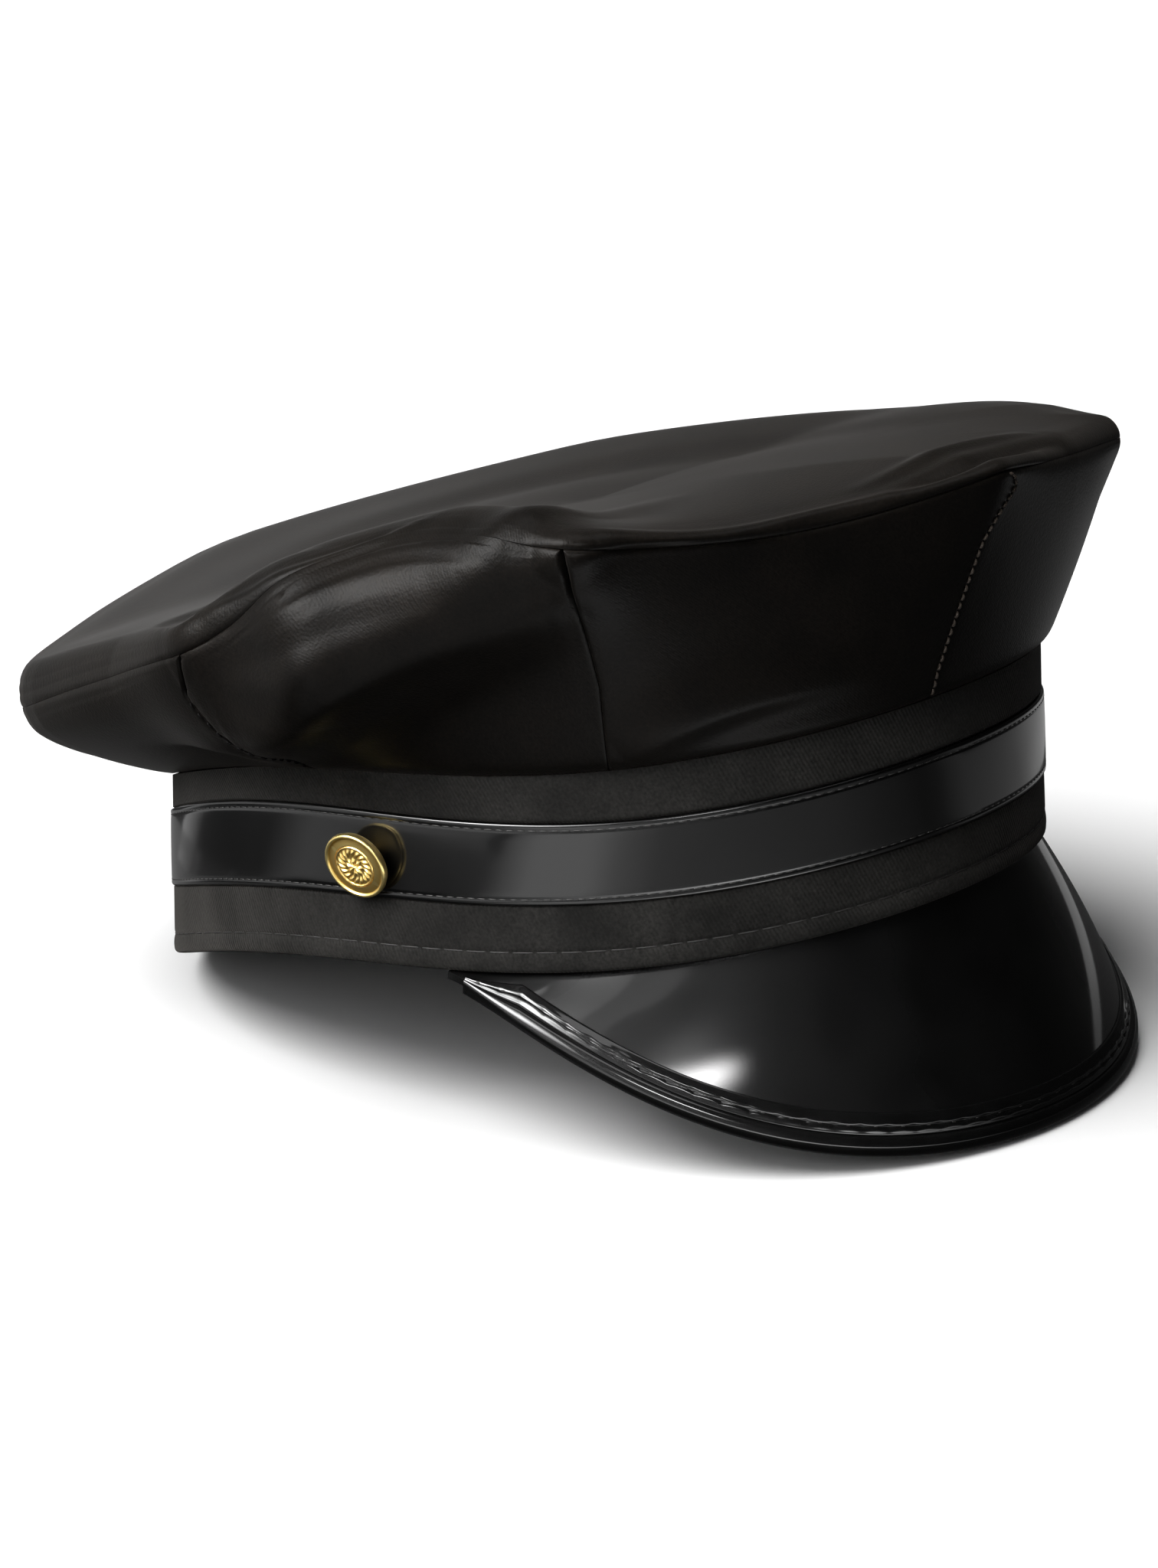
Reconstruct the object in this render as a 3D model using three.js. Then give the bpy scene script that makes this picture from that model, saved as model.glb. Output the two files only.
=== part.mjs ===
// Chauffeur cap: a soft black crown with a flat octagonal top, a stiff cloth band,
// a patent strap, a bound patent peak and two gilt buttons.
// Millimetres, +Z up. The front of the cap looks along -Y and the wearer's right is -X.
// Directions round the cap are degrees from the front towards the wearer's right.
// The cap stands by itself on the peak's rim and the back of the band.

import * as THREE from 'three';

// Head oval: the plan of the band's outer face, for a head of about 58 cm.
const head = {
  hemRadius: 92.8,      // mean radius at the bottom edge
  topRadius: 91.4,      // mean radius at the crown seam
  ovalness: 7.5,        // longer front to back, narrower across
  hemEgg: 2.6,          // front half longer than the back half, at the bottom edge
  topEgg: 1.6,          // the same at the crown seam
};

// Level lines of the band, from the bottom up. The height of each goes round as
// mean + tilt cos a + arch cos 2a + saddle cos 3a, because the cap leans back as it rests.
const levels = {
  hem:       { mean: 26.5, tilt: 20.8, arch: -4.6, saddle: 3.6, share: 0.00 },
  strapLow:  { mean: 41.6, tilt: 19.8, arch: -4.3, saddle: 3.4, share: 0.36 },
  strapHigh: { mean: 59.3, tilt: 19.6, arch: -4.9, saddle: 4.2, share: 0.78 },
  crownSeam: { mean: 68.6, tilt: 21.6, arch: -3.9, saddle: 3.6, share: 1.00 },
};

// Upright seams of the crown's side, one row each, round from the front.
// foot and top: direction at the band and at the top edge. reach and height: where the
// seam meets the top edge. bow and rise: how far the middle of the top edge, up to the
// next seam, stands out and up from a straight line. sag: how far the side hangs out
// half way up the seam. puff and roll: how far the top swells up over its edge, and past it.
const seams = [
  { foot: 12,  top: 8.5, reach: 113,   height: 138.6, bow: 1.0, rise: -0.4, sag: 0.0, puff: 3.8, roll: 2.2 },
  { foot: 54,  top: 59,  reach: 110.5, height: 130.8, bow: 5.6, rise: 10.0, sag: 0.0, puff: 2.5, roll: 2.4 },
  { foot: 101, top: 104, reach: 113.2, height: 99.3,  bow: 1.0, rise: 0.4,  sag: 3.0, puff: 6.0, roll: 5.7 },
  { foot: 146, top: 147, reach: 122.6, height: 61.0,  bow: 3.0, rise: -1.0, sag: 4.6, puff: 11, roll: 10.4 },
  { foot: 191, top: 192, reach: 128,   height: 65.0,  bow: 3.0, rise: 0.0,  sag: 4.0, puff: 11, roll: 10.4 },
  { foot: 236, top: 236, reach: 114,   height: 87.5,  bow: 3.0, rise: 1.0,  sag: 2.5, puff: 8.5, roll: 7.6 },
  { foot: 281, top: 281, reach: 108,   height: 109.5, bow: 3.0, rise: 2.0,  sag: 0.8, puff: 7.0, roll: 5.0 },
  { foot: 326, top: 326, reach: 113,   height: 125.0, bow: 2.0, rise: 0.5,  sag: 1.0, puff: 8.0, roll: 1.8 },
];
const fullTurn = 360;

// Crown
const crown = {
  cloth: 1.4,           // wall
  pouch: 1.6,           // the side stands out over the band seam
  pouchHeight: 1,       // and does so within about three times this height
  fullness: 1.0,        // swell of a side panel between its seams
  seamDent: 1.2,        // the sewn seams pull the cloth in
  seamHalfWidth: 0.09,  // share of a panel that one side of a seam pulls in
  topCentre: 106,       // height of the top's plane over the middle of the band
  topFall: 0.29,        // fall of the top towards the back
  topLean: 0.05,        // fall of the top towards the wearer's left
  dome: 5,              // swell of the top panel
  rollWidth: 7,         // the top panel rolls over its edge within about this distance
  rollSteepness: 1.6,   // and is up by then to most of its puff
};

// Band and strap
const band = { wall: 1.8, recess: 0.8, recessLip: 0.4 };
const strap = { inset: 0.5, proud: 0.5, edge: 0.25 };
const gap = 0.3;        // between pieces that touch

// Peak: a sheet that comes out under the band, with a folded binding on its rim.
const peak = {
  halfAngle: 77.5,      // its ends, from the front
  endShare: 0.985,      // the sheet stops at this share of halfAngle
  reach: 22.4,          // how far the rim stands out from the band at the front
  reachPower: 0.9,
  drop: 47.85,          // how far the rim hangs below the band at the front
  dropPower: 1.5,
  flankDrop: 2.8,       // extra depth half way to the ends
  sheet: 1.6,
  tongueShare: 0.5,     // the sewn edge inside the band, as a share of the height up to the strap
};
const binding = {
  width: 9,             // its leaf on the sheet, from the fold
  hemClear: 3.3,        // near its ends the leaf stops this far from the sheet's root
  leaf: 1.0,            // wall of the folded strip
  edge: 1.2,            // its fold past the sheet's rim
  corner: 1.0,
  endShare: 0.945,
  endTaper: 0.5,        // how much thinner the fold is at its ends
  taperPower: 6,
};

// Gilt buttons, one on each side of the strap
const button = {
  radius: 7.5,
  corner: 0.4,
  rim: 1.3,
  dome: 1.5,
  domeRadius: 6.4,
  shankRadius: 1.8,
  shank: 2.3,
  angle: 89.5,          // from the front
  lower: 1.2,           // below the middle of the strap
  droop: 15,            // it hangs a little on its shank and looks down
  rounds: 24,
  domeRings: 3,
};

// Fineness of the surfaces
const bandSteps = 72;
const panelColumns = 7;
const panelWidth = 80;  // about the width of a side panel
const sideRows = 7;
const sideRuns = { foot: 0.03, low: 0.1, last: 0.997 };
const topRings = 6;
const topRuns = { first: 1.0015, edge: 1.03, roll: 1.07, inner: 1.15, last: 1.85 };
const peakColumns = 34;
const peakRows = 7;
const bindingColumns = 44;

const radians = THREE.MathUtils.degToRad;
const mix = THREE.MathUtils.lerp;

// Shares of a panel over which the direction through the cloth is smoothed
const smoothing = { round: 0.12, side: 0.09, top: 0.04 };

// Band lines

function levelHeight(level, angle) {
  const a = radians(angle);
  return level.mean + level.tilt * Math.cos(a)
    + level.arch * Math.cos(2 * a) + level.saddle * Math.cos(3 * a);
}

function bandRadius(share, angle) {
  const a = radians(angle);
  return mix(head.hemRadius, head.topRadius, share) + head.ovalness * Math.cos(2 * a)
    + mix(head.hemEgg, head.topEgg, share) * Math.cos(a);
}

function around(angle, radius, height) {
  const a = radians(angle);
  return new THREE.Vector3(-radius * Math.sin(a), -radius * Math.cos(a), height);
}

// A point on the band's outer face at a level line, moved out and up.
function onBand(level, angle, out = 0, up = 0) {
  return around(angle, bandRadius(level.share, angle) + out, levelHeight(level, angle) + up);
}

// Solids

// Closed solid from points and triangles, turned so that its faces point out.
function solid(points, triangles) {
  let volume = 0;
  for (const [a, b, c] of triangles) {
    volume += points[a].dot(points[b].clone().cross(points[c]));
  }
  const geometry = new THREE.BufferGeometry().setFromPoints(points);
  geometry.setIndex(triangles.flatMap(([a, b, c]) => (volume > 0 ? [a, b, c] : [a, c, b])));
  geometry.computeVertexNormals();
  return geometry;
}

// A closed profile carried along stations: stations[i][j] is point j of the profile.
// A loop joins its last station to the first, an open run gets flat ends.
function sweep(stations, isLoop) {
  const count = stations.length;
  const sides = stations[0].length;
  const triangles = [];
  for (let i = 0; i < (isLoop ? count : count - 1); i += 1) {
    const next = (i + 1) % count;
    for (let j = 0; j < sides; j += 1) {
      const k = (j + 1) % sides;
      triangles.push([i * sides + j, next * sides + j, next * sides + k]);
      triangles.push([i * sides + j, next * sides + k, i * sides + k]);
    }
  }
  if (!isLoop) {
    for (const [station, isStart] of [[0, true], [count - 1, false]]) {
      for (const [a, b, c] of endFaces(stations[station])) {
        const face = [a, b, c].map((corner) => station * sides + corner);
        triangles.push(isStart ? face : face.reverse());
      }
    }
  }
  return solid(stations.flat(), triangles);
}

// Triangles over a flat end, in the order of its outline.
function endFaces(outline) {
  const across = outline[1].clone().sub(outline[0]).normalize();
  const normal = new THREE.Vector3();
  for (let j = 0; j < outline.length; j += 1) {
    normal.add(outline[j].clone().cross(outline[(j + 1) % outline.length]));
  }
  const up = normal.normalize().clone().cross(across);
  const flat = outline.map((point) => new THREE.Vector2(point.dot(across), point.dot(up)));
  return THREE.ShapeUtils.triangulateShape(flat, []);
}

// A sheet given by its outer face grid[i][j] and the same grid of unit directions
// through the cloth. A loop closes in i, and a pole closes the last j to one point.
function sheet(grid, through, thickness, isLoop, hasPole) {
  const columns = grid.length;
  const rows = grid[0].length;
  const inner = grid.map((column, i) => column.map(
    (point, j) => point.clone().addScaledVector(through[i][j], -thickness)));
  const points = [...grid.flat(), ...inner.flat()];
  const half = columns * rows;
  const last = isLoop ? columns : columns - 1;
  const triangles = [];
  const quad = (a, b, c, d) => triangles.push([a, b, c], [a, c, d]);
  for (let i = 0; i < last; i += 1) {
    const k = (i + 1) % columns;
    for (let j = 0; j < rows - 1; j += 1) {
      const corners = [i * rows + j, k * rows + j, k * rows + j + 1, i * rows + j + 1];
      quad(...corners);
      quad(...corners.map((corner) => corner + half).reverse());
    }
    quad(k * rows, i * rows, i * rows + half, k * rows + half);
    if (hasPole) {
      const pole = points.length;
      triangles.push([i * rows + rows - 1, k * rows + rows - 1, pole]);
      triangles.push([k * rows + rows - 1 + half, i * rows + rows - 1 + half, pole + 1]);
    } else {
      quad(i * rows + rows - 1, k * rows + rows - 1,
        k * rows + rows - 1 + half, i * rows + rows - 1 + half);
    }
  }
  if (!isLoop) {
    for (let j = 0; j < rows - 1; j += 1) {
      quad(j, j + 1, j + 1 + half, j + half);
      const end = (columns - 1) * rows;
      quad(end + j + 1, end + j, end + j + half, end + j + 1 + half);
    }
  }
  if (hasPole) {
    const centre = new THREE.Vector3();
    for (const column of grid) {
      centre.addScaledVector(column[rows - 1], 1 / columns);
    }
    points.push(centre, centre.clone().setZ(centre.z - thickness));
  }
  return solid(points, triangles);
}

// Crown form. place runs 0 to 8 round the seams. side runs 0 at the band to 1 at the
// top edge, and over runs 0 at the top edge to 1 at the middle of the top.

function seamRow(place) {
  const wrapped = ((place % seams.length) + seams.length) % seams.length;
  const index = Math.floor(wrapped);
  return { row: seams[index], next: seams[(index + 1) % seams.length], share: wrapped - index };
}

function turned(from, to, share) {
  return from + share * ((((to - from) % fullTurn) + fullTurn) % fullTurn);
}

function topEdge(place) {
  const { row, next, share } = seamRow(place);
  const start = around(row.top, row.reach, row.height);
  const end = around(next.top, next.reach, next.height);
  const swell = Math.sin(Math.PI * share);
  const point = start.lerp(end, share);
  const out = new THREE.Vector3(point.x, point.y, 0).normalize();
  point.addScaledVector(out, row.bow * swell);
  point.z += row.rise * swell;
  return point;
}

function crownSide(place, side) {
  const { row, next, share } = seamRow(place);
  const angle = turned(row.foot, next.foot, share);
  const foot = onBand(levels.crownSeam, angle, 0, gap);
  const edge = topEdge(place);
  const length = foot.distanceTo(edge);
  const point = foot.clone().lerp(edge, side);
  const out = new THREE.Vector3(point.x, point.y, 0).normalize();
  const fromSeam = Math.min(share, 1 - share) / crown.seamHalfWidth;
  const dent = crown.seamDent * Math.exp(-fromSeam * fromSeam);
  const swell = mix(row.sag, next.sag, share) + crown.fullness * Math.sin(Math.PI * share) - dent;
  const pouch = crown.pouch * (1 - Math.exp(-side * length / crown.pouchHeight)) * (1 - side);
  return point.addScaledVector(out, pouch + swell * Math.sin(Math.PI * side));
}

function topPlane(x, y) {
  return crown.topCentre - crown.topFall * y - crown.topLean * x;
}

function crownTop(place, over) {
  const edge = topEdge(place);
  const left = 1 - over;
  const rest = edge.z - topPlane(edge.x, edge.y);
  const { row, next, share } = seamRow(place);
  const puff = mix(row.puff, next.puff, share);
  const inward = over * Math.hypot(edge.x, edge.y) / crown.rollWidth;
  const roll = mix(row.roll, next.roll, share) * inward * Math.exp(1 - inward);
  const out = new THREE.Vector3(edge.x, edge.y, 0).normalize();
  const point = new THREE.Vector3(edge.x * left, edge.y * left, 0).addScaledVector(out, roll * left);
  point.z = topPlane(edge.x * left, edge.y * left) + rest * left * left
    + crown.dome * (1 - left * left) + puff * (1 - Math.exp(-crown.rollSteepness * inward)) * left;
  return point;
}

// One run over side and top: 0 to 1 up the side, 1 to 2 over the top.
function crownPoint(place, run) {
  return run <= 1 ? crownSide(place, Math.max(run, 0)) : crownTop(place, Math.min(run - 1, 1));
}

// Direction through the cloth, smoothed over seams and edge so that neighbours share it.
function crownThrough(place, run) {
  const { round, side, top } = smoothing;
  const along = crownPoint(place + round, run).sub(crownPoint(place - round, run));
  const below = run <= 1 ? side : top;
  const above = run < 1 ? side : top;
  const upwards = crownPoint(place, run + above).sub(crownPoint(place, run - below));
  return along.cross(upwards).normalize().negate();
}

function crownGrid(places, runs) {
  const grid = places.map((place) => runs.map((run) => crownPoint(place, run)));
  const through = places.map((place) => runs.map((run) => crownThrough(place, run)));
  return [grid, through];
}

function steps(from, to, count) {
  return Array.from({ length: count + 1 }, (_, i) => mix(from, to, i / count));
}

function sidePanel(index) {
  const trim = gap / 2 / panelWidth;
  const places = steps(index + trim, index + 1 - trim, panelColumns);
  const { foot, low, last } = sideRuns;
  const runs = [0, foot, ...steps(low, last, sideRows - 2)];
  return sheet(...crownGrid(places, runs), crown.cloth, false, false);
}

function topPanel() {
  const places = steps(0, seams.length, seams.length * panelColumns).slice(0, -1);
  const { first, edge, roll, inner, last } = topRuns;
  const runs = [first, edge, roll, ...steps(inner, last, topRings - 2)];
  return sheet(...crownGrid(places, runs), crown.cloth, true, true);
}

// Band and strap, carried round the head oval. The steps are set so that a short flat
// of the hem lies level at the back, where the cap stands.

function ring(profile) {
  const stations = Array.from({ length: bandSteps }, (_, i) => profile((i + 0.5) * fullTurn / bandSteps));
  return sweep(stations, true);
}

function bandProfile(angle) {
  const { hem, strapLow, strapHigh, crownSeam } = levels;
  return [
    onBand(hem, angle, -band.wall),
    onBand(hem, angle),
    onBand(strapLow, angle, 0, -gap - band.recessLip),
    onBand(strapLow, angle, -band.recess, -gap),
    onBand(strapHigh, angle, -band.recess, gap),
    onBand(strapHigh, angle, 0, gap + band.recessLip),
    onBand(crownSeam, angle),
    onBand(crownSeam, angle, -band.wall),
  ];
}

function strapProfile(angle) {
  const { strapLow, strapHigh } = levels;
  return [
    onBand(strapLow, angle, -strap.inset),
    onBand(strapLow, angle, strap.proud - strap.edge),
    onBand(strapLow, angle, strap.proud, strap.edge),
    onBand(strapHigh, angle, strap.proud, -strap.edge),
    onBand(strapHigh, angle, strap.proud - strap.edge),
    onBand(strapHigh, angle, -strap.inset),
  ];
}

// Peak. across runs -1 to 1 from the wearer's left end to the right, down runs 0 at the
// band to 1 at the rim.

function rimPoint(across) {
  const angle = across * peak.halfAngle;
  const left = Math.max(1 - across * across, 0);
  const out = peak.reach * left ** peak.reachPower;
  const flank = peak.flankDrop * Math.sin(Math.PI * across) ** 2;
  return onBand(levels.hem, angle, out, -peak.drop * left ** peak.dropPower - flank);
}

// Just inside the band's wall, from the hem (share 0) up to the strap (share 1).
function insideBand(angle, share) {
  const low = onBand(levels.hem, angle, -band.wall - gap, -gap);
  const high = onBand(levels.strapLow, angle, -band.wall - gap, -gap);
  return low.lerp(high, share);
}

function peakRoot(across) {
  return insideBand(across * peak.halfAngle, 0);
}

// Direction along the sheet towards the rim, the direction out of its upper face, and
// its length from root to rim.
function peakFrame(across) {
  const step = 0.01;
  const down = rimPoint(across).sub(peakRoot(across));
  const length = down.length();
  down.normalize();
  const along = rimPoint(across + step).sub(rimPoint(across - step));
  const out = down.clone().cross(along).normalize();
  if (out.z < 0) {
    out.negate();
  }
  return { down, out, length };
}

function peakSheet() {
  const end = peak.endShare;
  const grid = [];
  const through = [];
  for (const across of steps(-end, end, peakColumns)) {
    const { down, out } = peakFrame(across);
    const root = peakRoot(across);
    const rim = rimPoint(across).addScaledVector(down, -binding.edge - gap);
    const outward = new THREE.Vector3(root.x, root.y, 0).normalize();
    const tongue = insideBand(across * peak.halfAngle, peak.tongueShare);
    const drop = steps(0, 1, peakRows - 2);
    grid.push([tongue, ...drop.map((share) => root.clone().lerp(rim, share))]);
    const bend = outward.clone().add(out).normalize();
    through.push([outward, bend, ...drop.slice(1).map(() => out)]);
  }
  return sheet(grid, through, peak.sheet, false, false);
}

// The binding is a strip folded over the rim, with a leaf above and a leaf below the sheet.
function bindingSection(across) {
  const { down, out, length } = peakFrame(across);
  const width = Math.min(binding.width, length - binding.hemClear);
  const taper = 1 - binding.endTaper * Math.abs(across / binding.endShare) ** binding.taperPower;
  const middle = rimPoint(across).addScaledVector(out, -peak.sheet / 2);
  const inside = peak.sheet / 2 + gap;
  const outside = inside + binding.leaf * taper;
  const outline = [
    [-width, inside], [-width, outside],
    [-binding.corner, outside], [0, outside - binding.corner],
    [0, binding.corner - outside], [-binding.corner, -outside],
    [-width, -outside], [-width, -inside],
    [-binding.edge, -inside], [-binding.edge, inside],
  ];
  return outline.map(([alongSheet, offSheet]) => middle.clone()
    .addScaledVector(down, alongSheet).addScaledVector(out, offSheet));
}

function peakBinding() {
  const end = binding.endShare;
  return sweep(steps(-end, end, bindingColumns).map(bindingSection), false);
}

// Buttons

function buttonForm() {
  const { radius, corner, rim, dome, domeRadius, shankRadius, shank } = button;
  const rings = steps(1, 0, button.domeRings);
  const crest = rings.map((share) => [domeRadius * share, rim + dome * (1 - share * share)]);
  const outline = [
    [0, -shank], [shankRadius, -shank], [shankRadius, 0],
    [radius - corner, 0], [radius, corner], [radius, rim], ...crest,
  ];
  const points = outline.map(([out, height]) => new THREE.Vector2(out, height));
  const form = new THREE.LatheGeometry(points, button.rounds);
  form.rotateX(Math.PI / 2);
  return form;
}

// A button stands on the strap by its shank. turn is its direction round the cap.
function placeButton(mesh, turn) {
  const low = onBand(levels.strapLow, turn, strap.proud);
  const high = onBand(levels.strapHigh, turn, strap.proud);
  const outward = around(turn, 1, 0);
  const droop = radians(button.droop);
  const face = outward.clone().multiplyScalar(Math.cos(droop));
  face.z = -Math.sin(droop);
  const clear = gap + button.shank * Math.cos(droop) + button.shankRadius * Math.sin(droop);
  mesh.position.copy(low.lerp(high, 0.5)).addScaledVector(outward, clear);
  mesh.position.z -= button.lower;
  mesh.quaternion.setFromUnitVectors(new THREE.Vector3(0, 0, 1), face);
}

// Materials
const crownCloth = new THREE.MeshStandardMaterial({ color: 0x2a2521, roughness: 0.55, metalness: 0 });
const bandCloth = new THREE.MeshStandardMaterial({ color: 0x1b1b1c, roughness: 0.8, metalness: 0 });
const patent = new THREE.MeshStandardMaterial({ color: 0x0c0c0d, roughness: 0.15, metalness: 0 });
const gilt = new THREE.MeshStandardMaterial({ color: 0xd9ae4a, roughness: 0.3, metalness: 1 });

const cap = new THREE.Group();

function add(name, geometry, material) {
  const mesh = new THREE.Mesh(geometry, material);
  mesh.name = name;
  cap.add(mesh);
  return mesh;
}

add('crown_top', topPanel(), crownCloth);
seams.forEach((_, index) => add(`crown_side_${index + 1}`, sidePanel(index), crownCloth));
add('hat_band', ring(bandProfile), bandCloth);
add('strap', ring(strapProfile), patent);
add('peak', peakSheet(), patent);
add('peak_binding', peakBinding(), patent);
placeButton(add('button_right', buttonForm(), gilt), button.angle);
placeButton(add('button_left', buttonForm(), gilt), -button.angle);

// The origin is the middle of the cap's outline in plan, on the surface it stands on.
const bounds = new THREE.Box3().setFromObject(cap, true);
const middle = bounds.getCenter(new THREE.Vector3());
cap.position.set(-middle.x, -middle.y, -bounds.min.z);

export default cap;
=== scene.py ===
"""Chauffeur cap: a soft black crown over a stiff cloth band, with a patent strap, a bound
patent peak and gilt buttons. Forms are worked out in millimetres, with the middle of the
head oval as origin. The cap's front looks along -Y and the wearer's right is -X.
Directions round the cap are degrees from the front towards the wearer's right."""

import math

import bpy
import numpy as np
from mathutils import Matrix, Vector


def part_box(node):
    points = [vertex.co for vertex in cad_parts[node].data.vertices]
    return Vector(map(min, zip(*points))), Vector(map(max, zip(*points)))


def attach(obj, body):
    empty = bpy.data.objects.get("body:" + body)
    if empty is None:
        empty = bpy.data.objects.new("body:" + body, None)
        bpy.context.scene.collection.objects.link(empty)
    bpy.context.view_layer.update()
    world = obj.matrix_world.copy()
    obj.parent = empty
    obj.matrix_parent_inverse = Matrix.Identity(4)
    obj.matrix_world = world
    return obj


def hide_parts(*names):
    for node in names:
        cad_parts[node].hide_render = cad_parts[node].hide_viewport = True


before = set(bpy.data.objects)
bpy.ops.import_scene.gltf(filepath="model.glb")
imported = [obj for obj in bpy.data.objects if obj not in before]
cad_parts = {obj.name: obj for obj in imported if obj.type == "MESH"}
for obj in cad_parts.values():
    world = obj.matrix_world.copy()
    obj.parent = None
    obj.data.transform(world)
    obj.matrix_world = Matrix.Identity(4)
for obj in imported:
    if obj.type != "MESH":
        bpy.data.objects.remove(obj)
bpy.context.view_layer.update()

MM = 1000             # mm in a metre


# Hat band
# A stiff strip of black wool twill round the head oval, its lower edge turned up and
# topstitched. One upright join closes it. It carries the peak, the strap and the crown.

HEAD = {"hem_radius": 92.8, "top_radius": 91.4, "ovalness": 7.5, "hem_egg": 2.6, "top_egg": 1.6}
# Level lines: mean + tilt cos a + arch cos 2a + saddle cos 3a. share: 0 at the hem, 1 at the crown.
LEVELS = {
    "hem": (26.5, 20.8, -4.6, 3.6, 0.00),
    "strap_low": (41.6, 19.8, -4.3, 3.4, 0.36),
    "strap_high": (59.3, 19.6, -4.9, 4.2, 0.78),
    "crown_seam": (68.6, 21.6, -3.9, 3.6, 1.00),
}
FRONT_STEP = 2.5      # the band's solid has its first corner this far from the front, in degrees
BAND_WALL = 1.8
BAND_COLUMNS = 640


def level_height(level, angle):
    mean, tilt, arch, saddle, _ = LEVELS[level]
    a = np.radians(angle)
    return mean + tilt * np.cos(a) + arch * np.cos(2 * a) + saddle * np.cos(3 * a)


def band_radius(share, angle):
    a = np.radians(angle)
    mean = HEAD["hem_radius"] + (HEAD["top_radius"] - HEAD["hem_radius"]) * share
    egg = HEAD["hem_egg"] + (HEAD["top_egg"] - HEAD["hem_egg"]) * share
    return mean + HEAD["ovalness"] * np.cos(2 * a) + egg * np.cos(a)


def around(angle, radius, height):
    """Points at a direction round the cap, a distance from its middle and a height."""
    a = np.radians(angle)
    x, y, z = np.broadcast_arrays(-radius * np.sin(a), -radius * np.cos(a), height)
    return np.stack([x, y, z], -1)


def on_band(level, angle, out=0.0, up=0.0):
    """Points on the band's outer face at a level line, moved out and up."""
    share = LEVELS[level][4]
    return around(angle, band_radius(share, angle) + out, level_height(level, angle) + up)


# The head oval's middle in the record's frame, from where the band's solid lies.
band_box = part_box("hat_band")
front_reach = band_radius(0, FRONT_STEP) * math.cos(math.radians(FRONT_STEP))
OVAL_MIDDLE = np.array([
    MM * (band_box[0].x + band_box[1].x) / 2,
    MM * band_box[0].y + front_reach,
    MM * band_box[0].z - level_height("hem", 180 - FRONT_STEP),
])


def unit(vectors):
    return vectors / np.maximum(np.linalg.norm(vectors, axis=-1, keepdims=True), 1e-9)


def grid_faces(columns, rows, closed=False, start=0, flip=False):
    """Faces over a grid of columns x rows points, and the column and row of each corner."""
    across = columns if closed else columns - 1
    i, j = np.meshgrid(np.arange(across), np.arange(rows - 1), indexing="ij")
    corner_column = np.stack([i, i, i + 1, i + 1], -1).reshape(-1, 4)
    corner_row = np.stack([j, j + 1, j + 1, j], -1).reshape(-1, 4)
    if flip:
        corner_column = corner_column[:, ::-1]
        corner_row = corner_row[:, ::-1]
    faces = start + (corner_column % columns) * rows + corner_row
    return faces, corner_column, corner_row


def add_object(name, data):
    """New object in the scene, with its mesh, light or camera."""
    made = bpy.data.objects.new(name, data)
    bpy.context.scene.collection.objects.link(made)
    return made


def make_object(name, points, faces, flat=None, sharp=50):
    """Mesh object from points in mm. flat gives each face corner's place on the cloth in mm."""
    mesh = bpy.data.meshes.new(name)
    mesh.from_pydata(((points + OVAL_MIDDLE) / MM).tolist(), [], [list(map(int, f)) for f in faces])
    mesh.shade_smooth()
    mesh.set_sharp_from_angle(angle=math.radians(sharp))
    if flat is not None:
        layer = mesh.uv_layers.new(name="Cloth")
        layer.data.foreach_set("uv", (np.asarray(flat) / MM).astype(np.float32).ravel())
    return add_object(name, mesh)


def sweep_loop(name, stations, flat_along, flat_across, sharp=50):
    """Closed profile carried round a loop: stations[i, j] is point j of the profile at i."""
    columns, rows = stations.shape[:2]
    faces, column, row = grid_faces(columns, rows + 1, closed=True)
    flat = np.stack([flat_along[column], flat_across[row]], -1).reshape(-1, 2)
    faces = (column % columns) * rows + row % rows
    return make_object(name, stations.reshape(-1, 3), faces, flat, sharp)


def dress(piece, material, slot, *nodes):
    """Gives a piece its material and the body it rides on, and hides the model's parts that it stands for.
    Its slot is not used.
    """
    piece.data.materials.append(material)
    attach(piece, "root")
    if nodes:
        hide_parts(*nodes)


def linear(hex_colour):
    """sRGB hex colour as linear RGBA."""
    parts = [int(hex_colour[i:i + 2], 16) / 255 for i in (1, 3, 5)]
    return (*[c / 12.92 if c <= 0.04045 else ((c + 0.055) / 1.055) ** 2.4 for c in parts], 1.0)


def set_inputs(node, inputs):
    for key, value in inputs.items():
        if isinstance(value, bpy.types.NodeSocket):
            node.id_data.links.new(value, node.inputs[key])
        else:
            node.inputs[key].default_value = value


def add_node(tree, kind, inputs=None, **settings):
    """One node with its settings. inputs holds values or other nodes' sockets."""
    node = tree.nodes.new(kind)
    for key, value in settings.items():
        setattr(node, key, value)
    set_inputs(node, inputs or {})
    return node


def new_material(name):
    material = bpy.data.materials.new(name)
    material.use_nodes = True
    return material, material.node_tree, material.node_tree.nodes["Principled BSDF"]


def object_place(tree):
    return add_node(tree, "ShaderNodeTexCoord").outputs["Object"]


def per_metre(width):
    """How many repeats of a pattern, each this many mm wide, go into a metre."""
    return MM / width


def noise(tree, place, width, detail):
    """Random lumps about this many mm wide."""
    return add_node(tree, "ShaderNodeTexNoise",
                    {0: place, "Scale": per_metre(width), "Detail": detail}).outputs[0]


def bumped(tree, height, depth, strength=1.0, **more):
    """Normal over a height socket, whose full rise is depth in mm."""
    inputs = {"Strength": strength, "Distance": depth / MM, "Height": height, **more}
    return add_node(tree, "ShaderNodeBump", inputs).outputs[0]


def remapped(tree, value, source=(0.0, 1.0), target=(0.0, 1.0)):
    """A value socket carried from one range to another."""
    inputs = {0: value, 1: source[0], 2: source[1], 3: target[0], 4: target[1]}
    return add_node(tree, "ShaderNodeMapRange", inputs).outputs[0]


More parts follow.
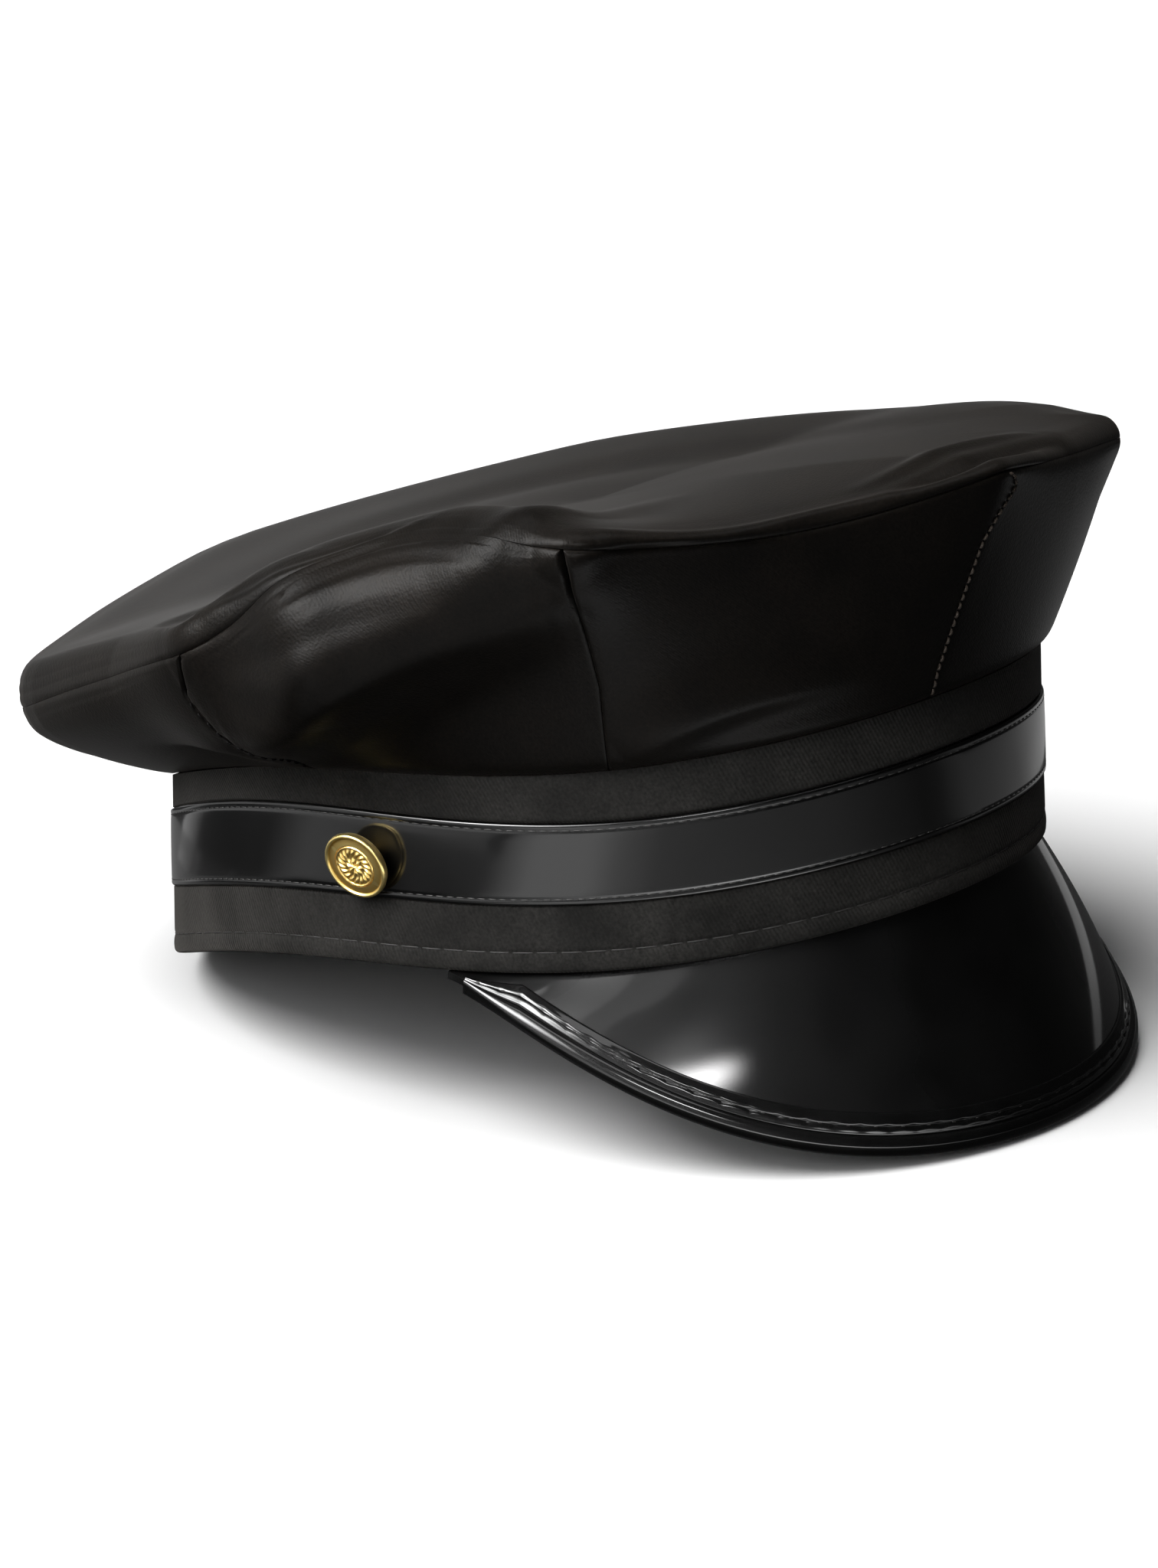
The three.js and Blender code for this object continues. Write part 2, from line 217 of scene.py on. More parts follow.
def blended(tree, share, low, high):
    """Colour between two hex colours by a share socket."""
    return add_node(tree, "ShaderNodeMix", {0: share, 6: linear(low), 7: linear(high)},
                    data_type="RGBA").outputs[2]


# The turned hem with its topstitching, and the upright join whose edge laps over.
HEM = {"radius": 0.9, "stitch_up": 4.5, "dent": 0.22, "dent_width": 0.55, "swell": 0.16,
       "swell_width": 1.4}
JOIN = {"angle": 46.0, "lap": 0.3, "fade": 0.9, "slit_width": 0.22}
# The twill lies back under the strap, by way of a small step.
UNDER_STRAP = -0.8
SEAT_STEP = -0.3

# Outer face: (level below, level above, share between them, out)
band_rows = [("hem", "strap_low", s, 0.0) for s in np.linspace(0.06, 0.97, 44)]
band_rows += [("hem", "strap_low", 0.985, SEAT_STEP), ("hem", "strap_low", 1.0, UNDER_STRAP)]
band_rows += [("strap_low", "strap_high", s, UNDER_STRAP) for s in (0.3, 0.7)]
band_rows += [("strap_high", "crown_seam", 0.0, UNDER_STRAP), ("strap_high", "crown_seam", 0.03, SEAT_STEP)]
band_rows += [("strap_high", "crown_seam", s, 0.0) for s in (0.06, *np.linspace(0.12, 1.0, 16))]

band_angle = (np.arange(BAND_COLUMNS) + 0.5) * 360 / BAND_COLUMNS


def between(low, high, share, angle, out=0.0):
    return on_band(low, angle, out) * (1 - share) + on_band(high, angle, out) * share


def hem_turn(angle, degrees):
    """A line of the hem's rounded edge, by its turn about the edge's middle."""
    turn = math.radians(degrees)
    radius = HEM["radius"]
    return on_band("hem", angle, radius * math.cos(turn) - radius, radius + radius * math.sin(turn))


def band_stations(angle):
    depth = level_height("strap_low", angle) - level_height("hem", angle)
    join = (angle - JOIN["angle"] + 180) % 360 - 180
    lap = np.exp(-np.clip(join, 0, None) / JOIN["fade"]) * (join > 0)
    lap = JOIN["lap"] * (lap - np.exp(-(join / JOIN["slit_width"]) ** 2))
    rows = [hem_turn(angle, turn) for turn in np.linspace(-90, 0, 7)[:-1]]
    for low, high, share, out in band_rows:
        if low == "hem":
            above = share * depth
            dent = HEM["dent"] * np.exp(-((above - HEM["stitch_up"]) / HEM["dent_width"]) ** 2)
            swell = HEM["swell"] * np.exp(-((above - HEM["stitch_up"] / 2) / HEM["swell_width"]) ** 2)
            out = out - dent + swell + lap
        rows.append(between(low, high, share, angle, out))
    rows.append(on_band("crown_seam", angle, -BAND_WALL))
    rows += [between("hem", "crown_seam", share, angle, -BAND_WALL) for share in (0.75, 0.5, 0.25)]
    rows += [hem_turn(angle, turn) for turn in np.linspace(-180, -90, 5)[:-1]]
    return np.stack(rows, 1)


def run_lengths(points):
    """Distance along a closed or open line of points, in mm, with one more for closing it."""
    steps = np.linalg.norm(np.roll(points, -1, 0) - points, axis=-1)
    return np.concatenate([[0], np.cumsum(steps)])


stations = band_stations(band_angle)
band_along = run_lengths(on_band("hem", band_angle))
band_across = run_lengths(stations[0])
hat_band = sweep_loop("band_twill", stations, band_along, band_across)


NAP_WIDTH = 2 / 3     # tufts of the nap, mm, coarser than the fibres so that they show
DYE_WIDTH = 14.3      # patches of uneven dye, mm
WAVE_FACTOR = 20      # the wave texture multiplies its own scale by this


def cloth_material(name, dark, light, twill, twill_angle, twill_depth, rough, specular, fuzz):
    """Black woven cloth: a diagonal twill line, uneven dye and a dull nap over it.

    The twill is drawn at `twill` mm, coarser than the real thread, so that it shows."""
    material, tree, shader = new_material(name)
    flat = add_node(tree, "ShaderNodeUVMap", uv_map="Cloth").outputs[0]
    place = object_place(tree)
    slant = (0, 0, math.radians(twill_angle))
    turned = add_node(tree, "ShaderNodeMapping", {0: flat, 2: slant}).outputs[0]
    line = add_node(tree, "ShaderNodeTexWave", {
        0: turned, "Scale": 2 * math.pi * per_metre(twill) / WAVE_FACTOR, "Distortion": 1.2,
        "Detail": 2.0, "Detail Scale": 1.5}, bands_direction="X").outputs["Fac"]
    nap = noise(tree, place, NAP_WIDTH, detail=4)
    dye = noise(tree, place, DYE_WIDTH, detail=4)
    share = add_node(tree, "ShaderNodeMath", {0: nap, 1: dye}, operation="MULTIPLY").outputs[0]
    colour = blended(tree, remapped(tree, share, source=(0.12, 0.42)), dark, light)
    height = add_node(tree, "ShaderNodeMath", {0: line, 1: twill_depth, 2: nap},
                      operation="MULTIPLY_ADD").outputs[0]
    set_inputs(shader, {
        "Base Color": colour, "Roughness": rough, "Specular IOR Level": specular,
        "Sheen Weight": fuzz, "Sheen Roughness": 0.45, "Sheen Tint": linear("#e0d8d0"),
        "Normal": bumped(tree, height, depth=0.1, strength=0.7)})
    return material


# Wool twill, woven and pressed: dull black that greys over its diagonal lines.
wool_twill = cloth_material("wool twill", dark="#151514", light="#343331", twill=0.8, twill_angle=28,
                            twill_depth=1.2, rough=0.72, specular=0.06, fuzz=0.1)
dress(hat_band, wool_twill, "band_cloth", "hat_band")


# A stitch's outline: (share of its length from the middle, share of its radius)
STITCH_FORM = ((-0.5, 0.35), (-0.42, 0.8), (-0.2, 1.0), (0.2, 1.0), (0.42, 0.8), (0.5, 0.35))
STITCH_DIVE = 1.2     # how far its ends sink in, in radii
STITCH_SIDES = 6


def stitch_line(name, points, normals, length, radius, lift=0.0, cover=0.82):
    """Thread stitches: a small capsule at even steps, which covers a share of each step."""
    verts, faces = [], []
    sides = STITCH_SIDES
    for middle, direction, normal in zip(*stitch_places(points, normals, length)):
        side = np.cross(direction, normal)
        start = len(verts)
        for along, wide in STITCH_FORM:
            for k in range(sides):
                turn = 2 * math.pi * k / sides
                offset = side * math.cos(turn) + normal * math.sin(turn)
                drop = lift - radius * STITCH_DIVE * (2 * along) ** 4
                verts.append(middle + direction * along * length * cover
                             + offset * radius * wide + normal * drop)
        for r in range(len(STITCH_FORM) - 1):
            for k in range(sides):
                a, b = start + r * sides + k, start + r * sides + (k + 1) % sides
                faces.append((a + sides, b + sides, b, a))
        faces.append([start + k for k in range(sides)])
        last = start + (len(STITCH_FORM) - 1) * sides
        faces.append([last + k for k in range(sides)][::-1])
    return make_object(name, np.array(verts), faces, sharp=80)


def stitch_places(points, normals, length):
    """Even places along a line of points: middle, direction and normal of each stitch."""
    steps = np.linalg.norm(np.diff(points, axis=0), axis=-1)
    far = np.concatenate([[0], np.cumsum(steps)])
    count = max(int(far[-1] / length), 1)
    at = (np.arange(count + 1)) * far[-1] / count

    def sample(values):
        return np.stack([np.interp(at, far, values[:, k]) for k in range(3)], -1)

    ends = sample(points)
    direction = unit(np.diff(ends, axis=0))
    normal = unit(sample(normals)[:-1] + sample(normals)[1:])
    normal = unit(normal - direction * (normal * direction).sum(-1, keepdims=True))
    return (ends[:-1] + ends[1:]) / 2, direction, normal


def thread_material(name, hex_colour, rough, specular=0.5):
    """Spun polyester thread: a tight twist that catches a fine line of light."""
    material, tree, shader = new_material(name)
    twist = noise(tree, object_place(tree), width=0.25, detail=2)
    set_inputs(shader, {"Base Color": linear(hex_colour), "Roughness": rough,
                        "Specular IOR Level": specular,
                        "Normal": bumped(tree, twist, depth=0.05, strength=0.5)})
    return material


# Polyester thread: black with a thin dull shine.
black_thread = thread_material("black polyester thread", "#1d1c1b", 0.5, 0.4)
ring_angle = np.linspace(0, 360, 4 * 360 + 1)      # four places to a degree
strap_above_hem = level_height("strap_low", ring_angle) - level_height("hem", ring_angle)
hem_share = HEM["stitch_up"] / strap_above_hem[:, None]
hem_line = between("hem", "strap_low", hem_share, ring_angle, -HEM["dent"])
ring_out = around(ring_angle, 1.0, 0.0)
hem_stitches = stitch_line("hem_topstitch", hem_line, ring_out, length=5.2, radius=0.14,
                           lift=0.1, cover=0.9)
dress(hem_stitches, black_thread, "band_cloth")


# Peak
# A stiff board covered in black patent vinyl, cut to a crescent and sewn inside the band.
# It slopes steeply down over the brow. Its underside is the same black.

PEAK = {"half_angle": 77.5, "end_share": 0.985, "reach": 22.4, "reach_power": 0.9,
        "drop": 47.85, "drop_power": 1.5, "flank_drop": 2.8, "sheet": 1.6,
        "tongue_share": 0.5, "gap": 0.3}
BINDING = {"width": 9.0, "hem_clear": 3.3, "leaf": 1.0, "edge": 1.2, "end_share": 0.945,
           "end_taper": 0.5, "taper_power": 6}


def rim_point(across):
    """The peak's rim, from -1 at the wearer's left end to 1 at the right."""
    left = np.clip(1 - across ** 2, 0, None)
    flank = PEAK["flank_drop"] * np.sin(np.pi * across) ** 2
    return on_band("hem", across * PEAK["half_angle"], PEAK["reach"] * left ** PEAK["reach_power"],
                   -PEAK["drop"] * left ** PEAK["drop_power"] - flank)


def inside_band(angle, share):
    inward = -BAND_WALL - PEAK["gap"]
    low = on_band("hem", angle, inward, -PEAK["gap"])
    high = on_band("strap_low", angle, inward, -PEAK["gap"])
    return low * (1 - share) + high * share


def peak_directions(across):
    """Down the sheet, out of its upper face, and its length from root to rim."""
    down = rim_point(across) - inside_band(across * PEAK["half_angle"], 0)
    length = np.linalg.norm(down, axis=-1)
    along = rim_point(across + 0.01) - rim_point(across - 0.01)
    down = unit(down)
    out = unit(np.cross(down, along))
    return down, out * np.sign(out[..., 2:]), length


def closed_sheet(name, outer, through, thickness, flat_along, flat_across, sharp=50):
    """Sheet with an outer and an inner face and closed rims. through is out of its front."""
    columns, rows = outer.shape[:2]
    inner = outer - through * thickness
    front, column, row = grid_faces(columns, rows)
    back, back_column, back_row = grid_faces(columns, rows, start=columns * rows, flip=True)
    points = np.concatenate([outer.reshape(-1, 3), inner.reshape(-1, 3)])
    half = columns * rows
    i, j = np.arange(columns - 1), np.arange(rows - 1)
    rims, rim_column, rim_row = [], [], []
    for a_column, a_row, b_column, b_row, turned in (
            (i, 0 * i, i + 1, 0 * i, False), (i, 0 * i + rows - 1, i + 1, 0 * i + rows - 1, True),
            (0 * j, j, 0 * j, j + 1, True), (0 * j + columns - 1, j, 0 * j + columns - 1, j + 1, False)):
        a, b = a_column * rows + a_row, b_column * rows + b_row
        quad = np.stack([a, b, b + half, a + half], -1)
        quad_column = np.stack([a_column, b_column, b_column, a_column], -1)
        quad_row = np.stack([a_row, b_row, b_row, a_row], -1)
        order = slice(None, None, -1) if turned else slice(None)
        rims.append(quad[:, order])
        rim_column.append(quad_column[:, order])
        rim_row.append(quad_row[:, order])
    faces = np.concatenate([front, back, *rims])
    columns_at = np.concatenate([column, back_column, *rim_column])
    rows_at = np.concatenate([row, back_row, *rim_row])
    flat = np.stack([flat_along[columns_at], flat_across[rows_at]], -1).reshape(-1, 2)
    return make_object(name, points, faces, flat, sharp)


PEAK_BULGE = 1.5      # the moulded board swells between its root and its rim
PEAK_DEPTH = 48       # of the cut piece at the front, laid flat, without its sewn edge
ROOT_TURN = 1 / 40    # share of the depth over which the tongue turns down into the sheet

across = np.linspace(PEAK["end_share"], -PEAK["end_share"], 320)
peak_angle = across * PEAK["half_angle"]
down, out, length = peak_directions(across)
root = inside_band(peak_angle, 0)
rim = rim_point(across) - down * (BINDING["edge"] + PEAK["gap"])
outward = unit(root * (1, 1, 0))
bulge = PEAK_BULGE * length / length.max()
peak_rows = [inside_band(peak_angle, s) for s in (PEAK["tongue_share"], 0.3, 0.12)]
peak_through = [outward, outward, outward]
fall = np.linspace(0, 1, 40)
for share in fall:
    swell = (bulge * math.sin(math.pi * share))[:, None]
    peak_rows.append(root * (1 - share) + rim * share + out * swell)
    turned = min(share / ROOT_TURN, 1)
    peak_through.append(unit(outward * (1 - turned) + out * (turned + 0.01)))
peak_along = run_lengths(rim)[:-1]
peak_across = np.concatenate([[-6, -4, -2], fall * PEAK_DEPTH])
patent_peak = closed_sheet("peak_patent", np.stack(peak_rows, 1), np.stack(peak_through, 1),
                           PEAK["sheet"], peak_along, peak_across)


VINYL_BLACK = "#030303"
VINYL_GRAIN = 0.0015  # depth of its fine grain, mm


def patent_material(name, rough, haze, wave_size, wave_depth):
    """Patent vinyl: a clear hard gloss over softer black plastic, so that a sharp reflection
    sits in a wide dull glow. It wavers with the board under it, and fine grain breaks it."""
    material, tree, shader = new_material(name)
    place = object_place(tree)
    wave = noise(tree, place, wave_size, detail=1)
    grain = noise(tree, place, width=1 / 3, detail=2)
    wavy = bumped(tree, wave, wave_depth)
    smear = remapped(tree, wave, source=(0.3, 0.7), target=(0.4, 0.5))
    set_inputs(shader, {
        "Base Color": linear(VINYL_BLACK), "Roughness": smear, "IOR": 1.5,
        "Specular IOR Level": haze, "Normal": wavy, "Coat Weight": 1.0,
        "Coat Roughness": rough, "Coat IOR": 1.45,
        "Coat Normal": bumped(tree, grain, VINYL_GRAIN, Normal=wavy)})
    return material


# Patent vinyl: near black, with wide soft reflections.
patent_vinyl = patent_material("patent vinyl", rough=0.07, haze=0.13, wave_size=14, wave_depth=0.03)
dress(patent_peak, patent_vinyl, "patent", "peak")


# Peak binding
# A strip of the same patent vinyl, folded over the peak's rim with both edges sewn through
# the board. The stitches sink into it, and its fold stands as a soft bead along the rim.

BINDING_COLUMNS = 700
STITCH_IN = 6.0       # stitches, from the rim
STITCH_STEP = 6.0
STITCH_SUNK = 0.2     # their thread, into the leaf
# Between the stitches the leaf puffs up by this, less its mean, over this width.
PUCKER = {"height": 0.3, "mean": 0.35, "width": 0.7, "fullness": 0.6}
# Upper leaf's section: distance from the rim and rise over the leaf's flat, in mm
LEAF_FORM = [(9.0, -0.95), (8.96, -0.55), (8.85, -0.3), (8.65, -0.16), (8.3, -0.08), (7.8, 0.0),
             (7.2, 0.1), (6.8, 0.15), (6.5, 0.1), (6.2, -0.1), (6.0, -0.22), (5.8, -0.12), (5.5, 0.02),
             (5.1, 0.0), (4.8, -0.08), (4.5, -0.2), (4.3, -0.24), (4.15, -0.34), (4.05, -0.5),
             (3.95, -0.38), (3.8, -0.12), (3.5, 0.08), (3.1, 0.22), (2.6, 0.3), (2.1, 0.28), (1.6, 0.16),
             (1.1, -0.06), (0.7, -0.34), (0.35, -0.7), (0.12, -1.1), (0.0, -1.6)]
UNDER_FORM = [(0.1, -0.8), (0.35, -0.4), (0.8, -0.15), (1.4, 0.0), (3.0, 0.0), (5.0, 0.0), (5.6, -0.1),
              (6.0, -0.25), (6.4, -0.1), (7.0, 0.0), (8.6, 0.0), (8.9, -0.3), (9.0, -0.95)]

across = np.linspace(-BINDING["end_share"], BINDING["end_share"], BINDING_COLUMNS)
down, out, length = peak_directions(across)
leaf_width = np.minimum(BINDING["width"], length - BINDING["hem_clear"])
taper = 1 - BINDING["end_taper"] * np.abs(across / BINDING["end_share"]) ** BINDING["taper_power"]
middle = rim_point(across) - out * PEAK["sheet"] / 2
inside = PEAK["sheet"] / 2 + PEAK["gap"]
outside = inside + BINDING["leaf"] * taper
rim_along = run_lengths(rim_point(across))[:-1]
between_stitches = np.abs(np.sin(np.pi * rim_along / STITCH_STEP)) ** PUCKER["fullness"]
pucker = PUCKER["height"] * (between_stitches - PUCKER["mean"])
squeeze = leaf_width / BINDING["width"]
sections = []
for back, rise in LEAF_FORM:
    near_stitch = math.exp(-((back - STITCH_IN) / PUCKER["width"]) ** 2)
    lifted = outside + taper * (rise + near_stitch * pucker)
    sections.append(middle - down * (back * squeeze)[:, None] + out * lifted[:, None])
for back, rise in UNDER_FORM:
    sections.append(middle - down * (back * squeeze)[:, None] - out * (outside + taper * rise)[:, None])
# The fold's inside, which lies round the board: (distance from the rim, under or over it)
for back, sign in ((8.9, -1), (1.2, -1), (1.2, 1), (8.9, 1)):
    sections.append(middle - down * (back * squeeze)[:, None] + out * (sign * inside))
sections = np.stack(sections, 1)


def sweep_open(name, stations, flat_along, flat_across, sharp=50):
    """Closed profile carried along an open run, with flat ends."""
    columns, rows = stations.shape[:2]
    _, column, row = grid_faces(columns, rows + 1)
    faces = [list(f) for f in column * rows + row % rows]
    flat = np.stack([flat_along[column], flat_across[row]], -1).reshape(-1, 2)
    ends = [list(range(rows)), [(columns - 1) * rows + k for k in range(rows)][::-1]]
    flat = np.concatenate([flat, np.zeros((2 * rows, 2))])
    return make_object(name, stations.reshape(-1, 3), faces + ends, flat, sharp)


binding_across = run_lengths(sections[BINDING_COLUMNS // 2])
peak_binding = sweep_open("binding_patent", sections[:, ::-1], rim_along, binding_across, 60)
# The same vinyl, thin and tight over the fold: short ripples in a sharp gloss.
binding_vinyl = patent_material("binding vinyl", rough=0.07, haze=0.1, wave_size=7, wave_depth=0.02)
dress(peak_binding, binding_vinyl, "patent", "peak_binding")

stitch_rim = middle - down * (STITCH_IN * squeeze)[:, None] + out * (outside - STITCH_SUNK)[:, None]
binding_stitches = stitch_line("binding_stitches", stitch_rim, out, length=STITCH_STEP, radius=0.26,
                               lift=0.05, cover=0.26)
dress(binding_stitches, black_thread, "patent")


# Crown sides
# Eight panels of soft black polyester satin, sewn into a ring that flares from the band
# to the top's edge. The front ones stand up, the back ones sag. The folds are modelled.

# Upright seams, from the front round to the wearer's right: directions of foot and top, then
# the top corner's reach and height, the edge's bow and rise up to the next seam, how far the
# side sags out, and the top's puff and roll behind the edge.
SEAM_KEYS = ("foot", "top", "reach", "height", "bow", "rise", "sag", "puff", "roll")
SEAM_ROWS = np.array([
    (12, 8.5, 113, 138.0, 1.0, -4.6, 0.0, 4.4, 2.2),
    (54, 59, 110.5, 130.8, -8.0, 9.6, 0.0, 2.5, 2.4),
    (101, 104, 113.2, 99.3, 1.0, 0.4, 3.0, 6.0, 5.7),
    (146, 147, 128.2, 60.2, 3.0, -1.0, 6.6, 11, 9.0),
    (191, 192, 128, 65.0, 3.0, 0.0, 4.0, 13, 10.4),
    (236, 236, 114, 87.5, 3.0, 1.0, 2.5, 12, 7.6),
    (281, 281, 108, 109.5, 3.0, 2.0, 0.8, 7.6, 5.0),
    (326, 326, 115.5, 126.0, 2.0, 0.5, 1.0, 9.2, 1.8),
])
SEAM = {key: SEAM_ROWS[:, k] for k, key in enumerate(SEAM_KEYS)}
PANELS = len(SEAM_ROWS)
CROWN = {"cloth": 1.0, "gap": 0.3, "pouch": 1.6, "pouch_height": 1.0, "fullness": 1.0,
         "seam_dent": 0.6, "seam_half_width": 0.09, "top_centre": 106, "top_fall": 0.29,
         "top_lean": 0.05, "dome": 6.5, "roll_width": 7, "roll_steepness": 1.6, "panel_width": 80}


def seam_split(place):
    """Panel number, the next, and the share of the way between, for places 0 to 8 round."""
    wrapped = np.mod(place, PANELS)
    index = np.floor(wrapped).astype(int) % PANELS
    return index, (index + 1) % PANELS, wrapped - np.floor(wrapped)


def seam_mix(key, place):
    index, following, share = seam_split(place)
    return SEAM[key][index] * (1 - share) + SEAM[key][following] * share


def flat_out(points):
    return unit(points * np.array([1.0, 1.0, 0.0]))


def top_edge(place):
    index, following, share = seam_split(place)
    start = around(SEAM["top"][index], SEAM["reach"][index], SEAM["height"][index])
    end = around(SEAM["top"][following], SEAM["reach"][following], SEAM["height"][following])
    swell = np.sin(np.pi * share)
    point = start * (1 - share)[..., None] + end * share[..., None]
    point = point + flat_out(point) * (SEAM["bow"][index] * swell)[..., None]
    point[..., 2] += SEAM["rise"][index] * swell
    return point


def crown_foot(place):
    index, following, share = seam_split(place)
    turn = np.mod(SEAM["foot"][following] - SEAM["foot"][index], 360)
    return on_band("crown_seam", SEAM["foot"][index] + share * turn, 0, CROWN["gap"])


def crown_side(place, side):
    foot, edge = crown_foot(place), top_edge(place)
    length = np.linalg.norm(edge - foot, axis=-1)
    point = foot + (edge - foot) * side[..., None]
    share = seam_split(place)[2]
    dent = CROWN["seam_dent"] * np.exp(-(np.minimum(share, 1 - share) / CROWN["seam_half_width"]) ** 2)
    swell = seam_mix("sag", place) + CROWN["fullness"] * np.sin(np.pi * share) - dent
    pouch = CROWN["pouch"] * (1 - np.exp(-side * length / CROWN["pouch_height"])) * (1 - side)
    return point + flat_out(point) * (pouch + swell * np.sin(np.pi * side))[..., None]


# Where the top runs over into the side without an edge: (place, share)
SOFT_EDGE = [(0.9, 0), (1.1, 1), (1.8, 1), (2.0, 0)]


def top_plane(x, y):
    return CROWN["top_centre"] - CROWN["top_fall"] * y - CROWN["top_lean"] * x


def crown_top(place, over):
    edge = top_edge(place)
    left = 1 - over
    rest = edge[..., 2] - top_plane(edge[..., 0], edge[..., 1])
    inward = over * np.hypot(edge[..., 0], edge[..., 1]) / CROWN["roll_width"]
    soft = np.interp(np.mod(place, PANELS), *zip(*SOFT_EDGE))
    roll = (1 - soft) * seam_mix("roll", place) * inward * np.exp(1 - inward)
    point = edge * left[..., None] + flat_out(edge) * (roll * left)[..., None]
    puff = seam_mix("puff", place) * (1 - np.exp(-CROWN["roll_steepness"] * inward)) * left
    point[..., 2] = (top_plane(edge[..., 0] * left, edge[..., 1] * left) + rest * left ** 2
                     + CROWN["dome"] * (1 - left ** 2) + puff)
    return point


# The top edge: (place, how deep it is sewn in, and how far the cloth is rounded along the edge
# and across it), in mm.
EDGE_ROWS = np.array([
    (0, 1.2, 2, 1),
    (0.1, 0.9, 3, 1),
    (0.8, 0.8, 3, 1),
    (0.97, 0.9, 4, 1.5),
    (1.12, 0, 5, 6),
    (1.25, 0, 6, 9),
    (1.5, 0, 4, 9),
    (1.65, 0.3, 3, 7),
    (1.9, 0.8, 2, 3),
    (2.1, 0.2, 4, 4),
    (2.4, 0, 7, 7),
    (3, 0.2, 7, 6),
    (4, 0.6, 9, 2),
    (5, 0.6, 8, 2),
    (6, 0.6, 6, 2),
    (7, 0.2, 1, 2),
    (7.7, 0.2, 3, 3),
    (7.92, 0.8, 2, 1.5),
    (8, 1.2, 2, 1),
])
EDGE_PLACES, EDGE_DEPTHS, EDGE_ALONG, EDGE_ACROSS = EDGE_ROWS.T
EDGE_RADIUS = 1.6
EDGE_FADE = 14        # the edge's rounding dies away over this distance from it
ROLL_ROUNDING = {"radius": 5.0, "start": 3, "over": 9}      # and over the top's roll
FOOT_FADE = 12        # none at the band, and all of it this far above
# How deep the upright seams are pulled in, by how much more at a gaping top, and over which
# radius. Then where each wanders from its straight line: (run, places towards the right).
SEAM_TUCK = {"depth": np.array([0.4, 0.5, 0.6, 0.6, 0.6, 0.6, 0.6, 0.6]),
             "gape": np.array([0.0, 1.2, 1.2, 0.0, 0.0, 0.0, 0.0, 0.0]),
             "radius": 0.9, "open_from": 0.72, "open_over": 0.12}
SEAM_WANDER = {
    0: [(0, 0.02), (0.12, 0.03), (0.5, 0.01), (0.7, 0.0), (0.82, -0.035), (0.92, -0.085), (0.97, -0.06),
        (1, -0.01)],
    1: [(0, 0.0), (0.38, -0.02), (0.66, -0.01), (0.83, 0.0), (1, 0.0)],
    2: [(0, -0.05), (0.05, -0.05), (0.28, -0.07), (0.44, -0.01), (0.64, 0.03), (0.77, 0.04), (1, 0.0)],
}


def at_place(values, place):
    return np.interp(np.mod(place, PANELS), EDGE_PLACES, values)


def edge_distance(place, run):
    """Distance from the top edge along the cloth, in mm: below 0 on the side, above on the top."""
    edge = top_edge(place)
    length = np.linalg.norm(edge - crown_foot(place), axis=-1)
    reach = np.hypot(edge[..., 0], edge[..., 1])
    return np.where(run > 1, (run - 1) * reach, (run - 1) * length), length, reach


def run_at(far, length, reach):
    """The run at a distance from the top edge."""
    return 1 + np.where(far > 0, far / reach, far / length)


def crown_raw(place, run):
    side = crown_side(place, np.clip(run, 0, 1))
    top = crown_top(place, np.clip(run - 1, 0, 1))
    return np.where((run > 1)[..., None], top, side)


def crown_form(place, run):
    """The crown without folds: run 0 at the band, 1 at the top edge, 2 at the top's middle.
    Its corners and edges are rounded by averaging points along and across them."""
    far, length, reach = edge_distance(place, run)
    on_roll = np.clip((far - ROLL_ROUNDING["start"]) / ROLL_ROUNDING["over"], 0, 1)
    across = at_place(EDGE_ACROSS, place) * np.exp(-(far / EDGE_FADE) ** 2)
    across = np.maximum(across, ROLL_ROUNDING["radius"] * on_roll)
    above_foot = np.clip((far + length) / FOOT_FADE, 0, 1)
    along = at_place(EDGE_ALONG, place) / CROWN["panel_width"] * above_foot
    total, weights = 0, 0
    for step_along in np.linspace(-1.6, 1.6, 5):
        for step_across in np.linspace(-2, 2, 9):
            weight = math.exp(-0.5 * (step_along ** 2 + step_across ** 2))
            moved = far + across * step_across
            moved_run = np.clip(run_at(moved, length, reach), 0, 2)
            total = total + weight * crown_raw(place + along * step_along, moved_run)
            weights += weight
    return total / weights


def across_edge(place, run, step=1.5):
    """Direction across the top edge, from the side to the top."""
    far, length, reach = edge_distance(place, run)
    below = crown_form(place, run_at(far - step, length, reach))
    above = crown_form(place, run_at(far + step, length, reach))
    return above - below


def wander(seam, run):
    rows = SEAM_WANDER.get(seam % PANELS, [(0, 0), (1, 0)])
    return np.interp(run, *zip(*rows))


